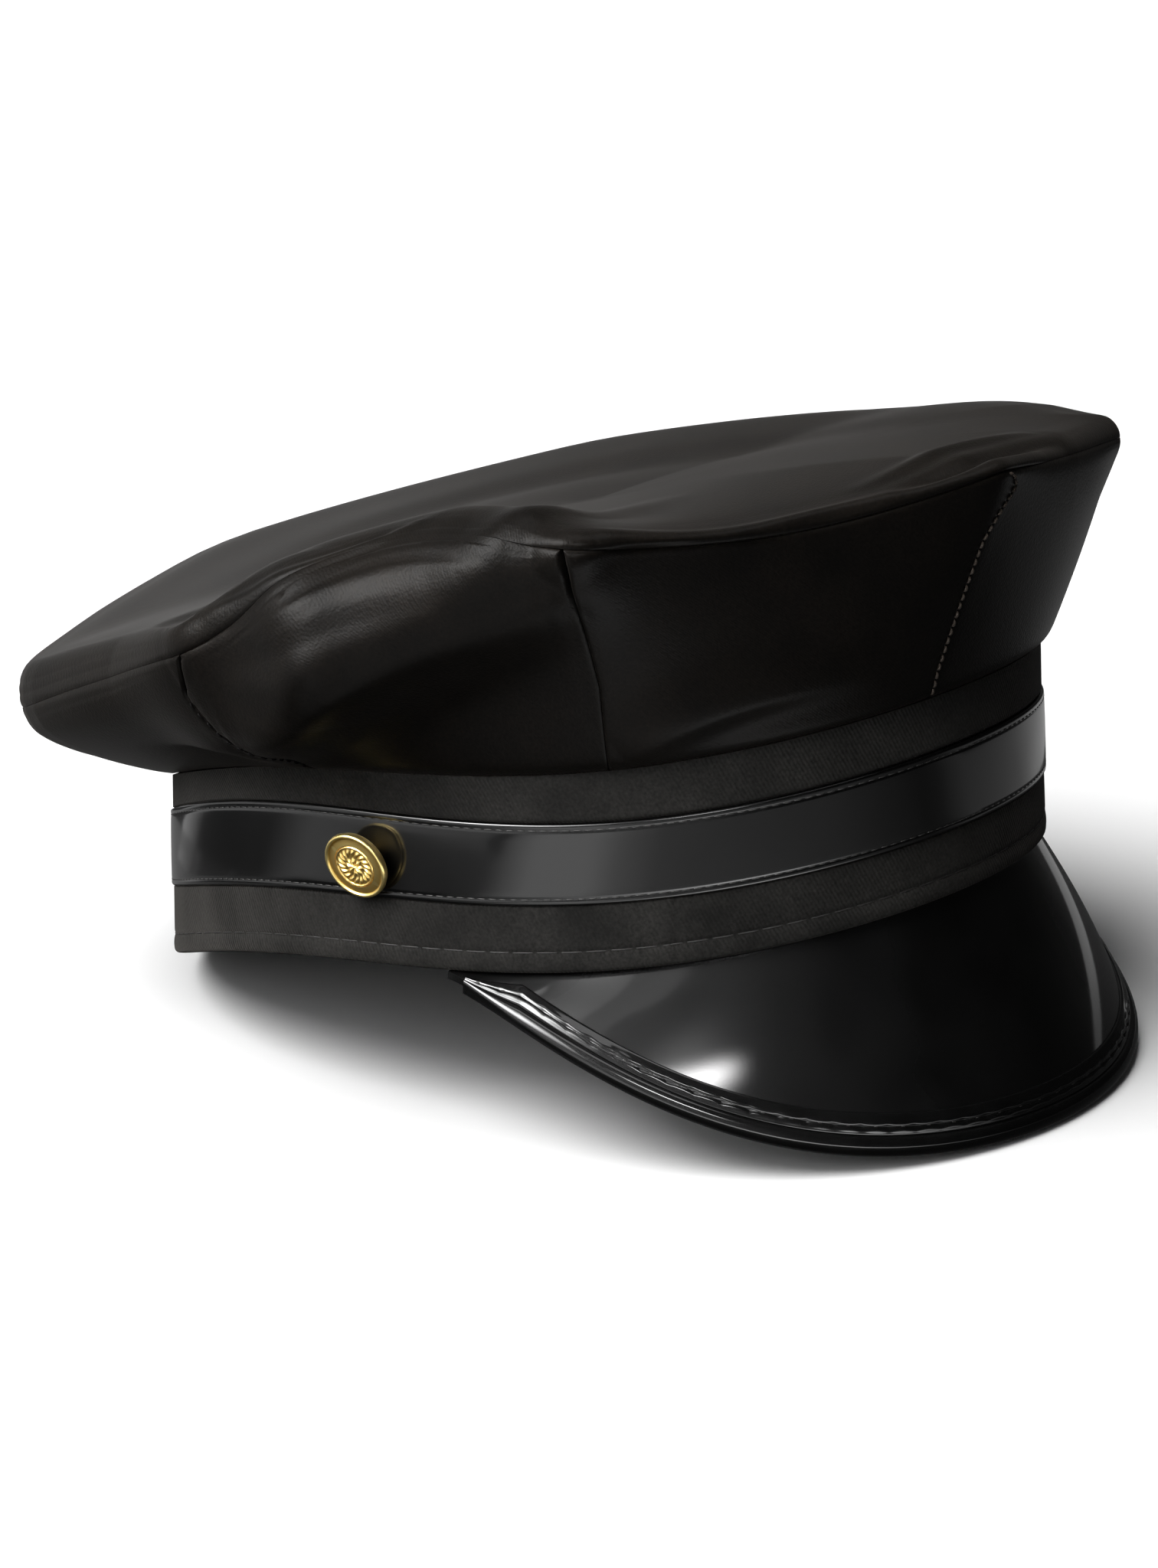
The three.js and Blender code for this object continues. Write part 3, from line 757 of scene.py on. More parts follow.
# Folds: lines over the crown by (place, run, height in mm), with the width of each flank,
# towards the band and towards the top.
FOLDS = {
    "edge_crease": (1.5, 0.5, [(1.97, 1.04, 0.3), (1.88, 1.03, 0.9), (1.8, 1.01, 1.1), (1.7, 1.01, 1.0),
                               (1.6, 1.0, 0.9), (1.49, 1.03, 0.8), (1.35, 1.06, 0.6), (1.25, 1.15, 0.0)]),
    "crease_valley": (6.0, 8.0, [(1.9, 1.09, 0.0), (1.7, 1.11, -0.9), (1.54, 1.13, -1.3), (1.34, 1.16, -1.3),
                                 (1.15, 1.26, -0.9), (0.9, 1.45, 0.0)]),
    "upper_lobe": (3.0, 2.4, [(1.93, 0.94, 0.0), (1.86, 0.95, 0.8), (1.74, 0.91, 1.0), (1.6, 0.87, 1.0),
                              (1.44, 0.84, 0.8), (1.34, 0.85, 0.0)]),
    "soft_ridge": (5.0, 6.0, [(1.93, 0.78, 0.0), (1.85, 0.74, 0.9), (1.75, 0.69, 1.1), (1.62, 0.72, 1.1),
                              (1.49, 0.73, 1.2), (1.35, 0.76, 1.6), (1.25, 0.83, 2.0), (1.14, 0.97, 2.4),
                              (1.06, 1.06, 2.2), (1.0, 1.25, 1.6), (0.8, 1.45, 0.8), (0.5, 1.55, 0.0)]),
    "hip": (10.0, 20.0, [(2.03, 0.36, 4.0), (1.95, 0.4, 8.0), (1.86, 0.44, 11.0), (1.76, 0.49, 12.5),
                         (1.66, 0.56, 13.0), (1.5, 0.6, 13.0), (1.33, 0.66, 11.0), (1.2, 0.73, 8.0),
                         (1.07, 0.8, 4.5), (1.0, 0.88, 1.5)]),
    "shoulder": (12.0, 12.0, [(1.8, 0.42, 0.0), (1.75, 0.58, 3.5), (1.72, 0.75, 5.0), (1.72, 0.9, 4.0),
                              (1.74, 1.02, 2.0), (1.76, 1.1, 0.0)]),
    "hip_lobe": (4.0, 6.0, [(2.0, 0.5, 0.5), (1.92, 0.47, 1.2), (1.82, 0.46, 1.4), (1.74, 0.53, 1.0),
                            (1.66, 0.58, 0.0)]),
    "corner_nub": (2.6, 2.4, [(1.1, 0.9, 0.0), (1.04, 0.93, 0.7), (0.99, 0.97, 0.8), (0.95, 1.0, 0.0)]),
    "edge_roll_one": (1.5, 2.4, [(0.95, 1.02, 0.3), (0.85, 1.03, 1.1), (0.7, 1.01, 0.5), (0.6, 1.02, 1.1),
                                 (0.48, 1.04, 1.5), (0.38, 1.05, 1.2), (0.3, 1.04, 0.6), (0.2, 1.03, 1.1),
                                 (0.1, 1.02, 0.7), (0.02, 1.0, 0.0)]),
    "low_pouch": (4.0, 8.0, [(0.98, 0.04, 0.0), (0.91, 0.09, 1.0), (0.81, 0.17, 1.9), (0.69, 0.24, 2.3),
                             (0.58, 0.27, 2.3), (0.45, 0.27, 1.6), (0.3, 0.26, 0.8), (0.15, 0.24, 0.0)]),
    "corner_dip": (2.4, 2.0, [(7.52, 1.02, 0.0), (7.65, 1.05, -1.4), (7.8, 1.07, -2.4), (7.95, 1.07, -2.6),
                              (8.05, 1.07, -2.4), (8.15, 1.06, -1.2), (8.26, 1.04, 0.0)]),
    "corner_rim": (2.2, 3.6, [(7.5, 1.1, 0.0), (7.7, 1.14, 1.2), (7.95, 1.16, 1.6), (8.15, 1.14, 1.0),
                              (8.3, 1.12, 0.0)]),
    "corner_fall": (14.0, 16.0, [(6.6, 1.08, 0.0), (6.85, 1.08, -1.2), (7.1, 1.08, -1.6), (7.35, 1.08, -1.2),
                                 (7.55, 1.07, 0.0)]),
    "top_hollow": (13.0, 15.0, [(2.3, 1.2, 0.0), (2.7, 1.3, -0.8), (3.2, 1.38, -1.3), (4.0, 1.45, -1.4),
                                (4.8, 1.5, -1.4), (5.6, 1.5, -1.3), (6.4, 1.45, -0.8), (7.0, 1.35, 0.0)]),
    "back_sag": (9.0, 14.0, [(3.1, 0.3, 0.0), (3.4, 0.42, 1.5), (3.8, 0.5, 2.2), (4.3, 0.5, 2.0),
                             (4.8, 0.44, 1.2), (5.2, 0.35, 0.0)]),
    "back_crease": (2.5, 6.0, [(4.1, 1.02, 0.0), (4.25, 0.93, 1.0), (4.45, 0.85, 1.3), (4.7, 0.8, 1.0),
                               (4.9, 0.78, 0.0)]),
    "left_hip": (7.0, 12.0, [(5.05, 0.4, 0.0), (5.3, 0.5, 2.4), (5.6, 0.6, 3.2), (5.85, 0.7, 2.0),
                             (6.0, 0.85, 0.0)]),
    "left_lobe": (3.5, 5.0, [(6.1, 0.75, 0.0), (6.3, 0.7, 1.0), (6.6, 0.72, 1.2), (6.85, 0.82, 0.0)]),
}


def line_points(rows, count=80):
    """Points along a fold's line, smoothed through its rows, how far along each is, its height."""
    place, run, height = np.array(rows, float).T
    knots = np.column_stack([crown_form(place, run), height])
    at = np.linspace(0, len(rows) - 1, count)
    line = np.stack([np.interp(at, np.arange(len(rows)), values) for values in knots.T], -1)
    width = max(count // len(rows), 3)
    for _ in range(2):
        padded = np.pad(line, ((width, width), (0, 0)), mode="edge")
        line = np.stack([np.convolve(values, np.ones(2 * width + 1) / (2 * width + 1), "valid")
                         for values in padded.T], -1)
    far = np.concatenate([[0], np.cumsum(np.linalg.norm(np.diff(line[:, :3], axis=0), axis=-1))])
    return line[:, :3], far, line[:, 3]


fold_lines = {name: line_points(rows) for name, (_, _, rows) in FOLDS.items()}


FOLD_REACH = 3        # a fold is felt this many flank widths away
FLANK_BLEND = 1.5     # its two flanks run into each other over this distance


def fold_height(points, normals):
    """How far the folds lift each point off the form."""
    total = np.zeros(points.shape[:-1])
    for name, (low_flank, high_flank, _) in FOLDS.items():
        line, far, height = fold_lines[name]
        reach = FOLD_REACH * max(low_flank, high_flank)
        lo, hi = line.min(0) - reach, line.max(0) + reach
        near = ((points > lo) & (points < hi)).all(-1)
        if not near.any():
            continue
        p, n = points[near], normals[near]
        nearest = ((p[:, None] - line[None]) ** 2).sum(-1).argmin(1)
        along = unit(np.gradient(line, axis=0))[nearest]
        at = far[nearest] + ((p - line[nearest]) * along).sum(-1)
        d = p - np.stack([np.interp(at, far, line[:, k]) for k in range(3)], -1)
        # a fold's line may run either way round the cap: its low side is the one nearer the band
        upward = np.cross(along, n)
        side = (d * upward).sum(-1) * np.sign(upward[:, 2].mean() + 1e-9)
        blend = 0.5 + 0.5 * np.tanh(side / FLANK_BLEND)
        flank = low_flank + (high_flank - low_flank) * blend
        total[near] += np.interp(at, far, height) * np.exp(-((d ** 2).sum(-1)) / flank ** 2)
    return total


def rounded_in(distance, radius):
    """1 at an edge, falling to 0 at the radius, as a rounded edge does."""
    near = np.clip(1 - np.abs(distance) / radius, 0, 1)
    return 1 - np.sqrt(1 - near ** 2)


SHARED_RUNS = 0.05    # side and top must agree this close to their edge


def crown_grid(places, runs, panel=None):
    """Outer face of the crown over places x runs, with its folds and its seams pulled in.
    A side panel's columns follow its two seams where they wander."""
    place, run = np.meshgrid(places, runs, indexing="ij")
    nearest = np.round(place)
    from_seam = np.abs(place - nearest) * CROWN["panel_width"]
    if panel is not None:
        share = place - panel
        place = place + (1 - share) * wander(panel, run) + share * wander(panel + 1, run)
    base = crown_form(place, run)
    over = np.gradient(base, axis=1)
    shared = np.abs(runs - 1) < SHARED_RUNS
    over[:, shared] = across_edge(place[:, shared], run[:, shared])
    normals = unit(np.cross(over, np.gradient(base, axis=0)))
    from_edge = np.abs(edge_distance(place, run)[0])
    tuck = at_place(EDGE_DEPTHS, place) * rounded_in(from_edge, EDGE_RADIUS)
    seam = nearest.astype(int) % PANELS
    opened = np.clip((run - SEAM_TUCK["open_from"]) / SEAM_TUCK["open_over"], 0, 1)
    depth = SEAM_TUCK["depth"][seam] + SEAM_TUCK["gape"][seam] * opened
    on_side = np.clip(from_edge, 0, 1) * (run <= 1)
    tuck = np.maximum(tuck, depth * rounded_in(from_seam, SEAM_TUCK["radius"]) * on_side)
    lift = fold_height(base, normals)
    return base + normals * (lift - tuck)[..., None], normals


def eased_steps(edges, count):
    """Shares from 0 to 1, close together at both ends."""
    inner = np.linspace(edges[-1], 1 - edges[-1], count)
    return np.concatenate([edges[:-1], inner, 1 - np.array(edges[:-1])[::-1]])


NEAR_SEAM = np.array([0.02, 0.1, 0.25, 0.45, 0.7, 1.0, 1.4, 1.9])      # columns close to a seam, mm
SIDE_COLUMNS = eased_steps(NEAR_SEAM / CROWN["panel_width"], 110)
SIDE_ROWS = np.concatenate([np.linspace(0, 0.08, 9)[:-1], np.linspace(0.08, 0.95, 62)[:-1],
                            np.linspace(0.95, 0.9995, 16)])

# Polyester satin: black with a soft grey sheen on faces that turn to the light.
satin = cloth_material("polyester satin", dark="#080706", light="#15120f", twill=0.5, twill_angle=45,
                       twill_depth=0.1, rough=0.37, specular=0.05, fuzz=0.05)

SIDE_DEPTH = 55.0     # of a panel, from the band to the top edge
for index in range(PANELS):
    grid, normals = crown_grid(index + SIDE_COLUMNS, SIDE_ROWS, index)
    panel = closed_sheet(f"crown_cloth_{index + 1}", grid, normals, CROWN["cloth"],
                         SIDE_COLUMNS * CROWN["panel_width"], SIDE_ROWS * SIDE_DEPTH)
    dress(panel, satin, "crown_cloth", f"crown_side_{index + 1}")

SEAM_STITCH_OUT = 0.35


def seam_stitches(name, thread, seam, first, last, length, radius, cover):
    """Stitches down one upright seam, from one run to another."""
    places = seam + np.array([0.0, 0.002, 0.004])
    seam_grid, seam_normals = crown_grid(places, np.linspace(first, last, 90), seam)
    raised = seam_grid[1] + seam_normals[1] * SEAM_STITCH_OUT
    stitches = stitch_line(name, raised, seam_normals[1], length, radius, lift=0.1, cover=cover)
    dress(stitches, thread, "crown_cloth")


# The first seam is topstitched in a worn, paler thread. Loose black stitches show at the third.
tan_thread = thread_material("worn tan thread", "#37302a", 0.7, 0.2)
seam_stitches("seam_stitches_one", tan_thread, seam=0, first=0.02, last=0.99,
              length=1.9, radius=0.32, cover=0.8)
seam_thread = thread_material("black seam thread", "#0c0b0b", 0.6, 0.05)
seam_stitches("seam_stitches_three", seam_thread, seam=2, first=0.04, last=0.74,
              length=2.6, radius=0.22, cover=0.6)


# Crown top
# One large panel of the same satin, sewn to the sides round its eight-cornered edge. It
# puffs up just inside the seam and lies loose over the middle.

TOP_COLUMNS = 560
TOP_RUNS = np.concatenate([1 + np.linspace(0.0005, 0.05, 20)[:-1], 1 + np.linspace(0.05, 0.4, 40)[:-1],
                           1 + np.linspace(0.4, 0.985, 26)])
top_places = np.arange(TOP_COLUMNS) * PANELS / TOP_COLUMNS
around_places = np.concatenate([top_places[-1:] - PANELS, top_places, top_places[:1] + PANELS])
top_grid, top_normals = crown_grid(around_places, TOP_RUNS)
top_grid, top_normals = top_grid[1:-1], top_normals[1:-1]
rows = len(TOP_RUNS)
half = TOP_COLUMNS * rows
inner = top_grid - top_normals * CROWN["cloth"]
front, column, row = grid_faces(TOP_COLUMNS, rows, closed=True)
back, back_column, back_row = grid_faces(TOP_COLUMNS, rows, closed=True, start=half, flip=True)
i = np.arange(TOP_COLUMNS)
k = (i + 1) % TOP_COLUMNS
rim_quads = np.stack([i * rows, k * rows, k * rows + half, i * rows + half], -1)
pole = top_grid[:, -1].mean(0)
poles = [pole, pole - (0, 0, CROWN["cloth"])]
points = np.concatenate([top_grid.reshape(-1, 3), inner.reshape(-1, 3), poles])
caps = [(a * rows + rows - 1, 2 * half, b * rows + rows - 1) for a, b in zip(i, k)]
caps += [(b * rows + rows - 1 + half, 2 * half + 1, a * rows + rows - 1 + half) for a, b in zip(i, k)]
all_faces = [*front, *back, *rim_quads, *caps]
corners = [corner for face in all_faces for corner in face]
crown_panel = make_object("crown_cloth_top", points, all_faces, points[corners][:, :2])
dress(crown_panel, satin, "crown_cloth", "crown_top")


# Strap
# A strip of patent vinyl round the band, edge-stitched top and bottom and held at the
# sides by the gilt buttons. It lies on the twill and its gloss wavers with the band.

STRAP_COLUMNS = 900
STRAP_PROUD = 0.5
# Across the strap: share from its lower to its upper edge, and how far it stands out
STRAP_FORM = [(0.0, -0.5), (0.0, 0.2), (0.008, 0.38), (0.02, 0.46), (0.04, 0.5), (0.06, 0.46),
              (0.075, 0.36), (0.09, 0.46), (0.12, 0.5), (0.2, 0.52), (0.3, 0.54), (0.4, 0.55),
              (0.5, 0.55), (0.6, 0.55), (0.7, 0.54), (0.8, 0.52), (0.88, 0.5), (0.91, 0.46),
              (0.925, 0.36), (0.94, 0.46), (0.96, 0.5), (0.98, 0.46), (0.992, 0.38), (1.0, 0.2),
              (1.0, -0.5)]
STRAP_STITCHES = {"low": 0.075, "high": 0.925}      # share across the strap, in its two grooves
STRAP_STITCH_OUT = 0.34

strap_angle = np.arange(STRAP_COLUMNS) * 360 / STRAP_COLUMNS
strap_rows = [between("strap_low", "strap_high", s, strap_angle, o) for s, o in STRAP_FORM]
strap_stations = np.stack(strap_rows, 1)
strap_along = run_lengths(on_band("strap_low", strap_angle))
strap_across = run_lengths(strap_stations[0])
strap = sweep_loop("strap_patent", strap_stations, strap_along, strap_across, 60)
# The same vinyl, handled more: its gloss is softer and wavers over the twill.
strap_vinyl = patent_material("strap vinyl", rough=0.12, haze=0.06, wave_size=10, wave_depth=0.02)
dress(strap, strap_vinyl, "patent", "strap")

for edge, share in STRAP_STITCHES.items():
    line = between("strap_low", "strap_high", share, ring_angle, STRAP_STITCH_OUT)
    stitches = stitch_line(f"strap_stitches_{edge}", line, ring_out, length=2.4, radius=0.16, lift=0.06)
    dress(stitches, black_thread, "patent")


# Buttons
# Stamped brass, gilded, with a raised rim and a wreath round a small rosette. The shank
# goes through the strap, so each hangs a little and looks down.

BUTTON = {"shank_radius": 1.8, "shank": 2.3, "angle": 89.5, "lower": 1.2, "droop": 15,
          "gap": 0.3}
# From the shank's end out over the back and the rim to the relief: (radius, height)
BUTTON_FORM = [(0.0, -2.3), (1.8, -2.3), (1.8, -1.15), (2.4, -1.0), (6.2, -0.75), (6.8, -0.6),
               (7.1, -0.3), (7.15, -0.05), (7.12, 0.1), (7.3, 0.22), (7.46, 0.42), (7.5, 0.7),
               (7.5, 1.1), (7.42, 1.4), (7.25, 1.58), (7.0, 1.62), (6.78, 1.52), (6.65, 1.3),
               (6.5, 1.22), (6.2, 1.24), (5.7, 1.32), (5.2, 1.4), (4.9, 1.44)]
RELIEF = {"radius": 4.9, "floor": 1.34, "edge_dip": 0.25, "edge_width": 0.6, "petals": 8, "leaves": 18}
ROUNDS = 180

radii = np.linspace(RELIEF["radius"], 0.05, 60)
turns = np.arange(ROUNDS) * 2 * np.pi / ROUNDS
relief_r, relief_t = np.meshgrid(radii, turns)


def raised_ring(radius, width):
    """1 along a circle of the relief, falling away on both sides of it."""
    return np.exp(-((relief_r - radius) / width) ** 2)


slanted = RELIEF["leaves"] * relief_t + 2.6 * (relief_r - 3.3)      # the wreath's leaves lean
petals = raised_ring(1.25, 0.75) * (0.28 + 0.22 * np.cos(RELIEF["petals"] * relief_t))
leaves = raised_ring(3.3, 0.75) * (0.25 + 0.2 * np.cos(slanted))
bead, border = 0.3 * raised_ring(0.0, 0.45), 0.25 * raised_ring(4.55, 0.18)
dip = RELIEF["edge_dip"] * rounded_in(RELIEF["radius"] - relief_r, RELIEF["edge_width"])
field = RELIEF["floor"] - dip + petals + leaves + bead + border
lathe_r = np.array([r for r, _ in BUTTON_FORM])
lathe_z = np.array([z for _, z in BUTTON_FORM])
ring = np.stack([np.outer(np.cos(turns), lathe_r), np.outer(np.sin(turns), lathe_r),
                 np.tile(lathe_z, (ROUNDS, 1))], -1)
disc = np.stack([relief_r * np.cos(relief_t), relief_r * np.sin(relief_t), field], -1)
button_grid = np.concatenate([ring[:, 1:], disc[:, 1:]], 1)
button_rows = button_grid.shape[1]
button_faces, _, _ = grid_faces(ROUNDS, button_rows, closed=True)
button_faces = [list(f[::-1]) for f in button_faces]
base_pole, face_pole = ROUNDS * button_rows, ROUNDS * button_rows + 1
for a in range(ROUNDS):
    b = (a + 1) % ROUNDS
    button_faces.append([base_pole, b * button_rows, a * button_rows])
    button_faces.append([face_pole, (a + 1) * button_rows - 1, (b + 1) * button_rows - 1])
poles = [(0, 0, lathe_z[0]), (0, 0, field[0, -1])]
button_points = np.concatenate([button_grid.reshape(-1, 3), poles])


def gilt_material():
    """Gilded brass: warm yellow, polished on what stands up and browner in its hollows."""
    material, tree, shader = new_material("gilded brass")
    hollow = add_node(tree, "ShaderNodeNewGeometry").outputs["Pointiness"]
    colour = blended(tree, remapped(tree, hollow, source=(0.44, 0.54)), "#d9a743", "#ffe596")
    scuffs = noise(tree, object_place(tree), width=5 / 9, detail=3)
    set_inputs(shader, {"Base Color": colour, "Metallic": 1.0, "Roughness": 0.32,
                        "Normal": bumped(tree, scuffs, depth=0.04, strength=0.4)})
    return material


gilt = gilt_material()
droop = math.radians(BUTTON["droop"])
clear = BUTTON["gap"] + BUTTON["shank"] * math.cos(droop) + BUTTON["shank_radius"] * math.sin(droop)
for name, turn in (("right", BUTTON["angle"]), ("left", -BUTTON["angle"])):
    turn_array = np.array(turn)
    seat = between("strap_low", "strap_high", 0.5, turn_array, STRAP_PROUD)
    outward = around(turn_array, 1.0, 0.0)
    centre = seat + outward * clear - (0, 0, BUTTON["lower"])
    looks = Vector(outward * math.cos(droop) - (0, 0, math.sin(droop)))
    turned = np.array(Vector((0, 0, 1)).rotation_difference(looks).to_matrix())
    button = make_object(f"button_{name}_gilt", button_points @ turned.T + centre, button_faces, sharp=60)
    dress(button, gilt, "gilt", f"button_{name}")


# Floor, lights and camera
# A pale floor that runs out of view, a large soft light above and behind and a soft side
# light. Bright boards, which only gloss shows, shape the reflections in vinyl and satin.

FLOOR_HALF = 6        # m
floor_mesh = bpy.data.meshes.new("floor")
floor_corners = [(x * FLOOR_HALF, y * FLOOR_HALF, 0) for x, y in ((-1, -1), (1, -1), (1, 1), (-1, 1))]
floor_mesh.from_pydata(floor_corners, [], [(0, 1, 2, 3)])
floor = add_object("floor", floor_mesh)
floor_paint, _, shader = new_material("matte white paint")
set_inputs(shader, {"Base Color": linear("#f0f0f0"), "Roughness": 0.9, "Specular IOR Level": 0.1})
floor_mesh.materials.append(floor_paint)
floor.visible_diffuse = floor.visible_glossy = False     # it throws no light up at the cap


def direction(azimuth, elevation):
    """Unit vector from the cap, azimuth from its front towards the wearer's right."""
    a, e = math.radians(azimuth), math.radians(elevation)
    return Vector((-math.sin(a) * math.cos(e), -math.cos(a) * math.cos(e), math.sin(e)))


CAP_MIDDLE = Vector((0, 0, 0.07))


LIGHT_DISTANCE = 1.4  # m


def add_light(name, kind, azimuth, elevation, **settings):
    """Light that is aimed at the cap and doesn't show in gloss."""
    light = bpy.data.lights.new(name, kind)
    for key, value in settings.items():
        setattr(light, key, value)
    lamp = add_object(name, light)
    towards = direction(azimuth, elevation)
    lamp.location = CAP_MIDDLE + towards * LIGHT_DISTANCE
    lamp.rotation_euler = towards.to_track_quat("Z", "Y").to_euler()
    lamp.visible_glossy = False


# The first is wide and endlessly far, so it lights the floor evenly out to the horizon
add_light("sky_soft", "SUN", 118, 60, angle=math.radians(50), energy=4.8)
add_light("side_soft", "AREA", 86, 22, shape="SQUARE", size=0.7, energy=5)


def glow_board(name, grid, brightness):
    """Board of points grid[i, j], in metres, that shows only in gloss, with its brightness."""
    columns, rows = grid.shape[:2]
    faces, _, _ = grid_faces(columns, rows)
    board_mesh = bpy.data.meshes.new(name)
    board_mesh.from_pydata(grid.reshape(-1, 3).tolist(), [], faces.tolist())
    glow = board_mesh.color_attributes.new("Glow", "FLOAT_COLOR", "POINT")
    values = np.broadcast_to(brightness, (columns, rows)).ravel()
    glow.data.foreach_set("color", np.stack([values, values, values, values * 0 + 1], -1).ravel())
    board = add_object(name, board_mesh)
    board.visible_camera = board.visible_diffuse = board.visible_shadow = False
    board_paint, tree, shader = new_material(name)
    glow_node = add_node(tree, "ShaderNodeVertexColor", layer_name="Glow")
    set_inputs(shader, {"Base Color": linear("#000000"), "Specular IOR Level": 0.0, "Roughness": 1.0,
                        "Emission Color": glow_node.outputs[0], "Emission Strength": 1.0})
    board_mesh.materials.append(board_paint)


def sphere_points(azimuths, elevations, distance):
    a, e = np.radians(azimuths)[:, None], np.radians(elevations)[None, :]
    return distance * np.stack([-np.sin(a) * np.cos(e), -np.cos(a) * np.cos(e), np.sin(e) + 0 * a], -1)


def soft_spot(azimuths, elevations, middle, widths, power=2):
    """1 at a point of a board, fading over a width in azimuth and one in elevation, in degrees."""
    sideways = (azimuths[:, None] - middle[0]) / widths[0]
    upwards = (elevations[None, :] - middle[1]) / widths[1]
    return np.exp(-sideways ** power - upwards ** 2)


RING_LIFT = 0.002     # the rings lie this far over the floor, m


def floor_ring(azimuths, radii):
    turn, radius = np.radians(azimuths)[:, None], np.array(radii)[None, :]
    return np.stack([-radius * np.sin(turn), -radius * np.cos(turn), 0 * turn * radius + RING_LIFT], -1)


def round_ring(azimuths, rows):
    """A value round a ring, from rows of (azimuth, value)."""
    return np.interp(azimuths, *zip(*rows))[:, None]


# What the strap reflects: (azimuth, brightness), and how far in or out the ring runs there
RING = [(-125, 0.1), (-100, 0.3), (-82, 0.38), (-66, 0.4), (-54, 0.3), (-30, 0.3), (-24, 0.2),
        (-20, 0.1), (-14, 0.07), (-8, 0.12), (2, 0.2), (15, 0.33), (31, 0.4), (44, 0.48), (56, 0.6),
        (65, 1.2), (71, 2.1), (83, 2.1), (88, 1.1), (92, 0.3), (100, 0.18), (113, 0.18), (118, 0.45),
        (122, 0.68), (131, 0.68), (137, 0.25), (141, 0.06), (160, 0.03), (166, 0.04), (171, 0.4),
        (178, 0.7)]
RING_INNER = [(-31, 1.2), (-30, 1.0), (130, 1.0), (145, 0.8)]
RING_OUTER = [(-31, 0.5), (-30, 1.5), (89, 1.5), (90, 0.33)]
ring_azimuth = np.linspace(RING[0][0], RING[-1][0], 304)
near_ring = floor_ring(ring_azimuth, (0.2, 0.25, 1.0))
near_ring[:, :2, :2] *= round_ring(ring_azimuth, RING_INNER)[:, None]
near_ring[:, 2, :2] *= round_ring(ring_azimuth, RING_OUTER)
glow_board("strap_ring", near_ring, round_ring(ring_azimuth, RING))
# Close in: what the binding's rolled edge reflects
LOW_RING = [(-30, 0.0), (-8, 0.05), (4, 0.4), (14, 3.0), (24, 8.0), (36, 9.0), (48, 6.0), (60, 3.5),
            (75, 1.5), (95, 0.3)]
low_azimuth = np.linspace(-30, 95, 80)
low_glow = round_ring(low_azimuth, LOW_RING) * np.array([0.2, 1.0, 0.2])
glow_board("binding_ring", floor_ring(low_azimuth, (0.145, 0.17, 0.2)), low_glow)
# Under the crown's overhang at the back
glow_board("tip_ring", floor_ring(np.linspace(128, 212, 40), (0.12, 0.19)), 0.2)
# Further out: what the crown's soft side reflects
FAR_RING = [(93, 0.8), (150, 1.0), (180, 0.4), (205, 0.3), (222, 0.8), (250, 0.8)]
far_azimuth = np.linspace(93, 250, 80)
glow_board("far_ring", floor_ring(far_azimuth, (0.335, 0.8, 1.6)), round_ring(far_azimuth, FAR_RING))

# Wall round the studio: (azimuth, brightness), and how it fades upwards: (elevation, share).
# A soft patch on it glows at the upper side of the peak.
WALL = [(-130, 0.2), (-118, 0.04), (-88, 0.02), (-78, 0.01), (30, 0.01), (42, 0.12), (52, 0.35), (80, 0.5),
        (95, 1.4), (145, 1.4), (165, 0.6), (230, 0.35)]
WALL_FADE = [(-2, 1.0), (30, 1.0), (45, 0.6), (60, 0.35), (66, 0.3)]
wall_azimuth = np.linspace(-130, 230, 181)
wall_height = np.linspace(-2, 66, 35)
wall_glow = (np.interp(wall_azimuth, *zip(*WALL))[:, None]
             * np.interp(wall_height, *zip(*WALL_FADE))[None, :])
wall_glow = wall_glow + 0.5 * soft_spot(wall_azimuth, wall_height, (66, 50), (14, 6))
STUDIO_RADIUS = 1.6   # m
glow_board("studio_wall", sphere_points(wall_azimuth, wall_height, STUDIO_RADIUS), wall_glow)
glow_board("ceiling", sphere_points(wall_azimuth, np.linspace(67, 89, 8), STUDIO_RADIUS), 2.5)
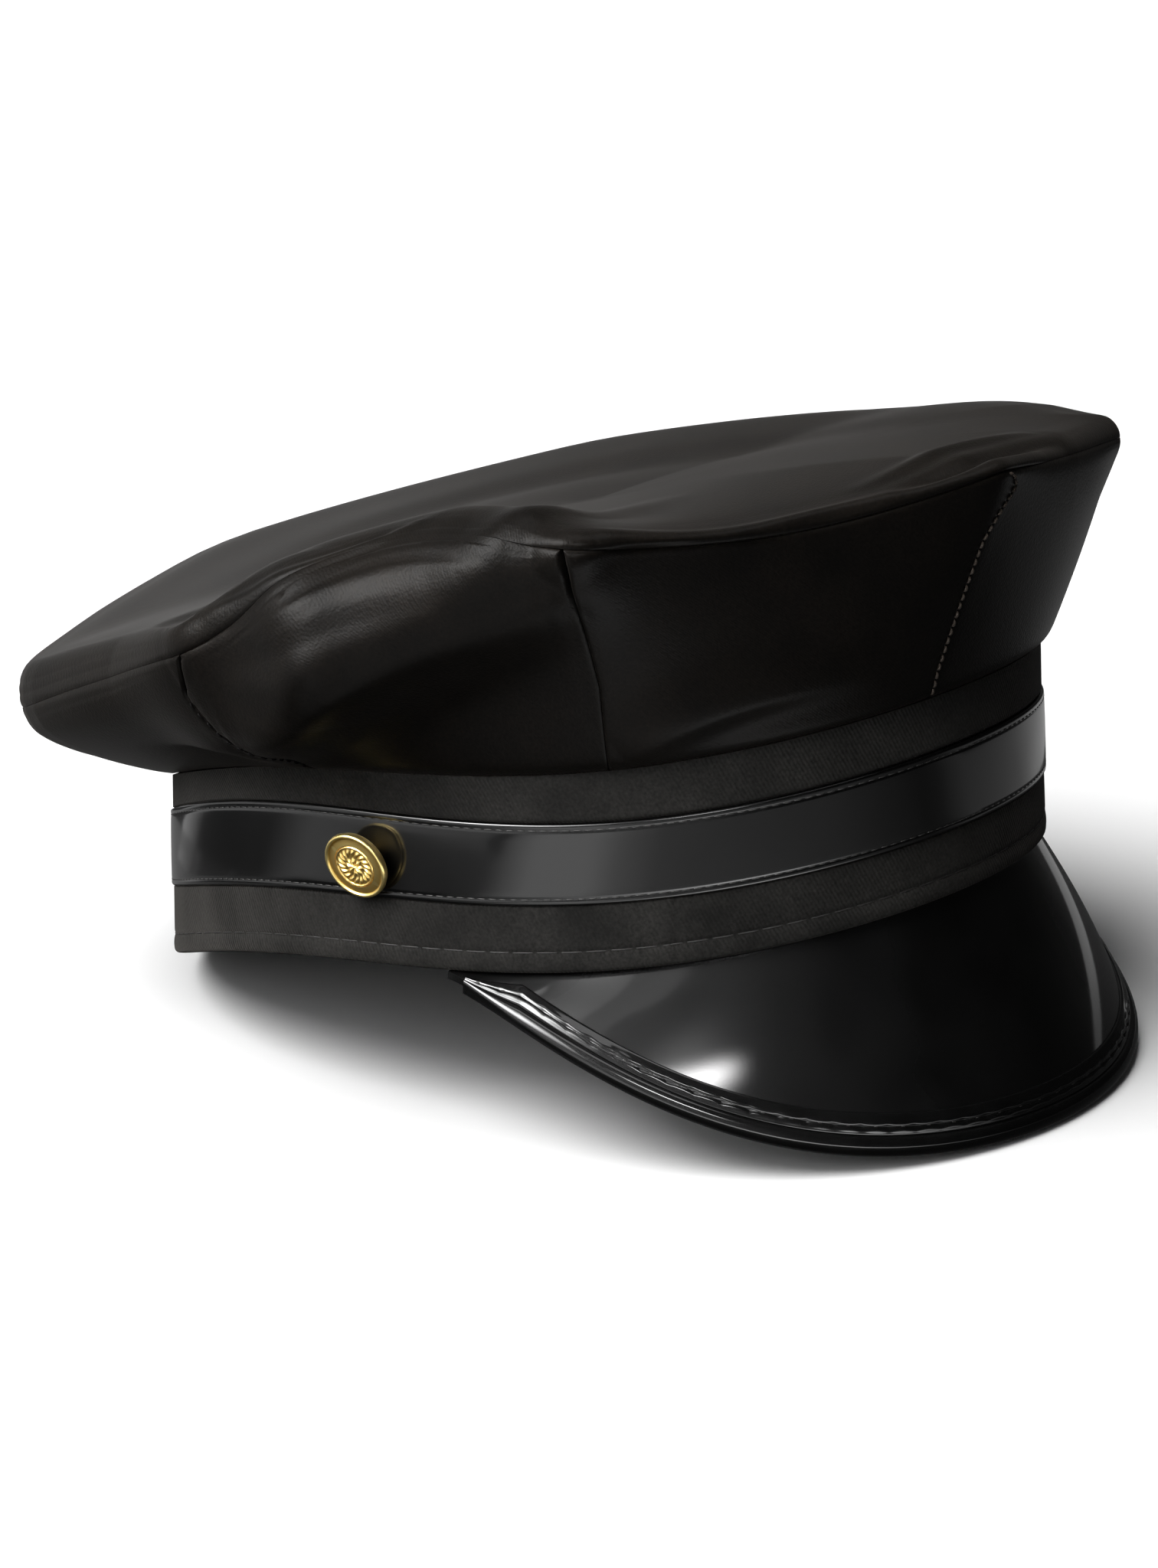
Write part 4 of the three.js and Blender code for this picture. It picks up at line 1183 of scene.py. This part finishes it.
# High behind the cap's side: it draws the soft sheen on the side's upper folds
back_azimuth = np.linspace(80, 170, 46)
back_height = np.linspace(10, 66, 29)
back_glow = soft_spot(back_azimuth, back_height, (114, 38), (24, 13))
WINDOW_GLOW = 46
back_points = sphere_points(back_azimuth, back_height, STUDIO_RADIUS - 0.05)
glow_board("back_window", back_points, WINDOW_GLOW * back_glow)
# The small bright window that the peak reflects, with a faint glow above it
window_azimuth = np.linspace(30, 72, 43)
window_height = np.linspace(27, 50, 24)
window_glow = (WINDOW_GLOW * soft_spot(window_azimuth, window_height, (54, 32), (11, 2.2), power=4)
               + 1.4 * soft_spot(window_azimuth, window_height, (54, 37), (7, 5)))
glow_board("window", sphere_points(window_azimuth, window_height, STUDIO_RADIUS - 0.1), window_glow)

# The camera sees the studio's air white, and hardly any of that light falls on the cap
AIR_ON_CAP = 0.03
world = bpy.data.worlds.new("studio")
bpy.context.scene.world = world
world.use_nodes = True
backdrop = world.node_tree.nodes["Background"]
seen = add_node(world.node_tree, "ShaderNodeLightPath").outputs["Is Camera Ray"]
air_light = remapped(world.node_tree, seen, target=(AIR_ON_CAP, 1.0))
set_inputs(backdrop, {"Color": linear("#ffffff"), "Strength": air_light})

VIEW_AZIMUTH, VIEW_ELEVATION = 56, 18     # from the front towards the wearer's right, degrees
VIEW_DISTANCE = 1100                      # mm, from the point looked at
LOOKED_AT = np.array([0.0, 0.0, 40.0])    # mm over the middle of the head oval
LENS = 113.9

backward = direction(VIEW_AZIMUTH, VIEW_ELEVATION)
camera_data = bpy.data.cameras.new("camera")
camera_data.sensor_fit = "VERTICAL"
camera_data.sensor_height = 36
camera_data.lens = LENS
camera_data.shift_x, camera_data.shift_y = -0.0091, 0.0214
camera = add_object("camera", camera_data)
camera.location = (LOOKED_AT + OVAL_MIDDLE + np.array(backward) * VIEW_DISTANCE) / MM
camera.rotation_euler = (-backward).to_track_quat("-Z", "Y").to_euler()
bpy.context.scene.camera = camera
bpy.context.scene.view_settings.view_transform = "Standard"
bpy.context.scene.view_settings.look = "None"
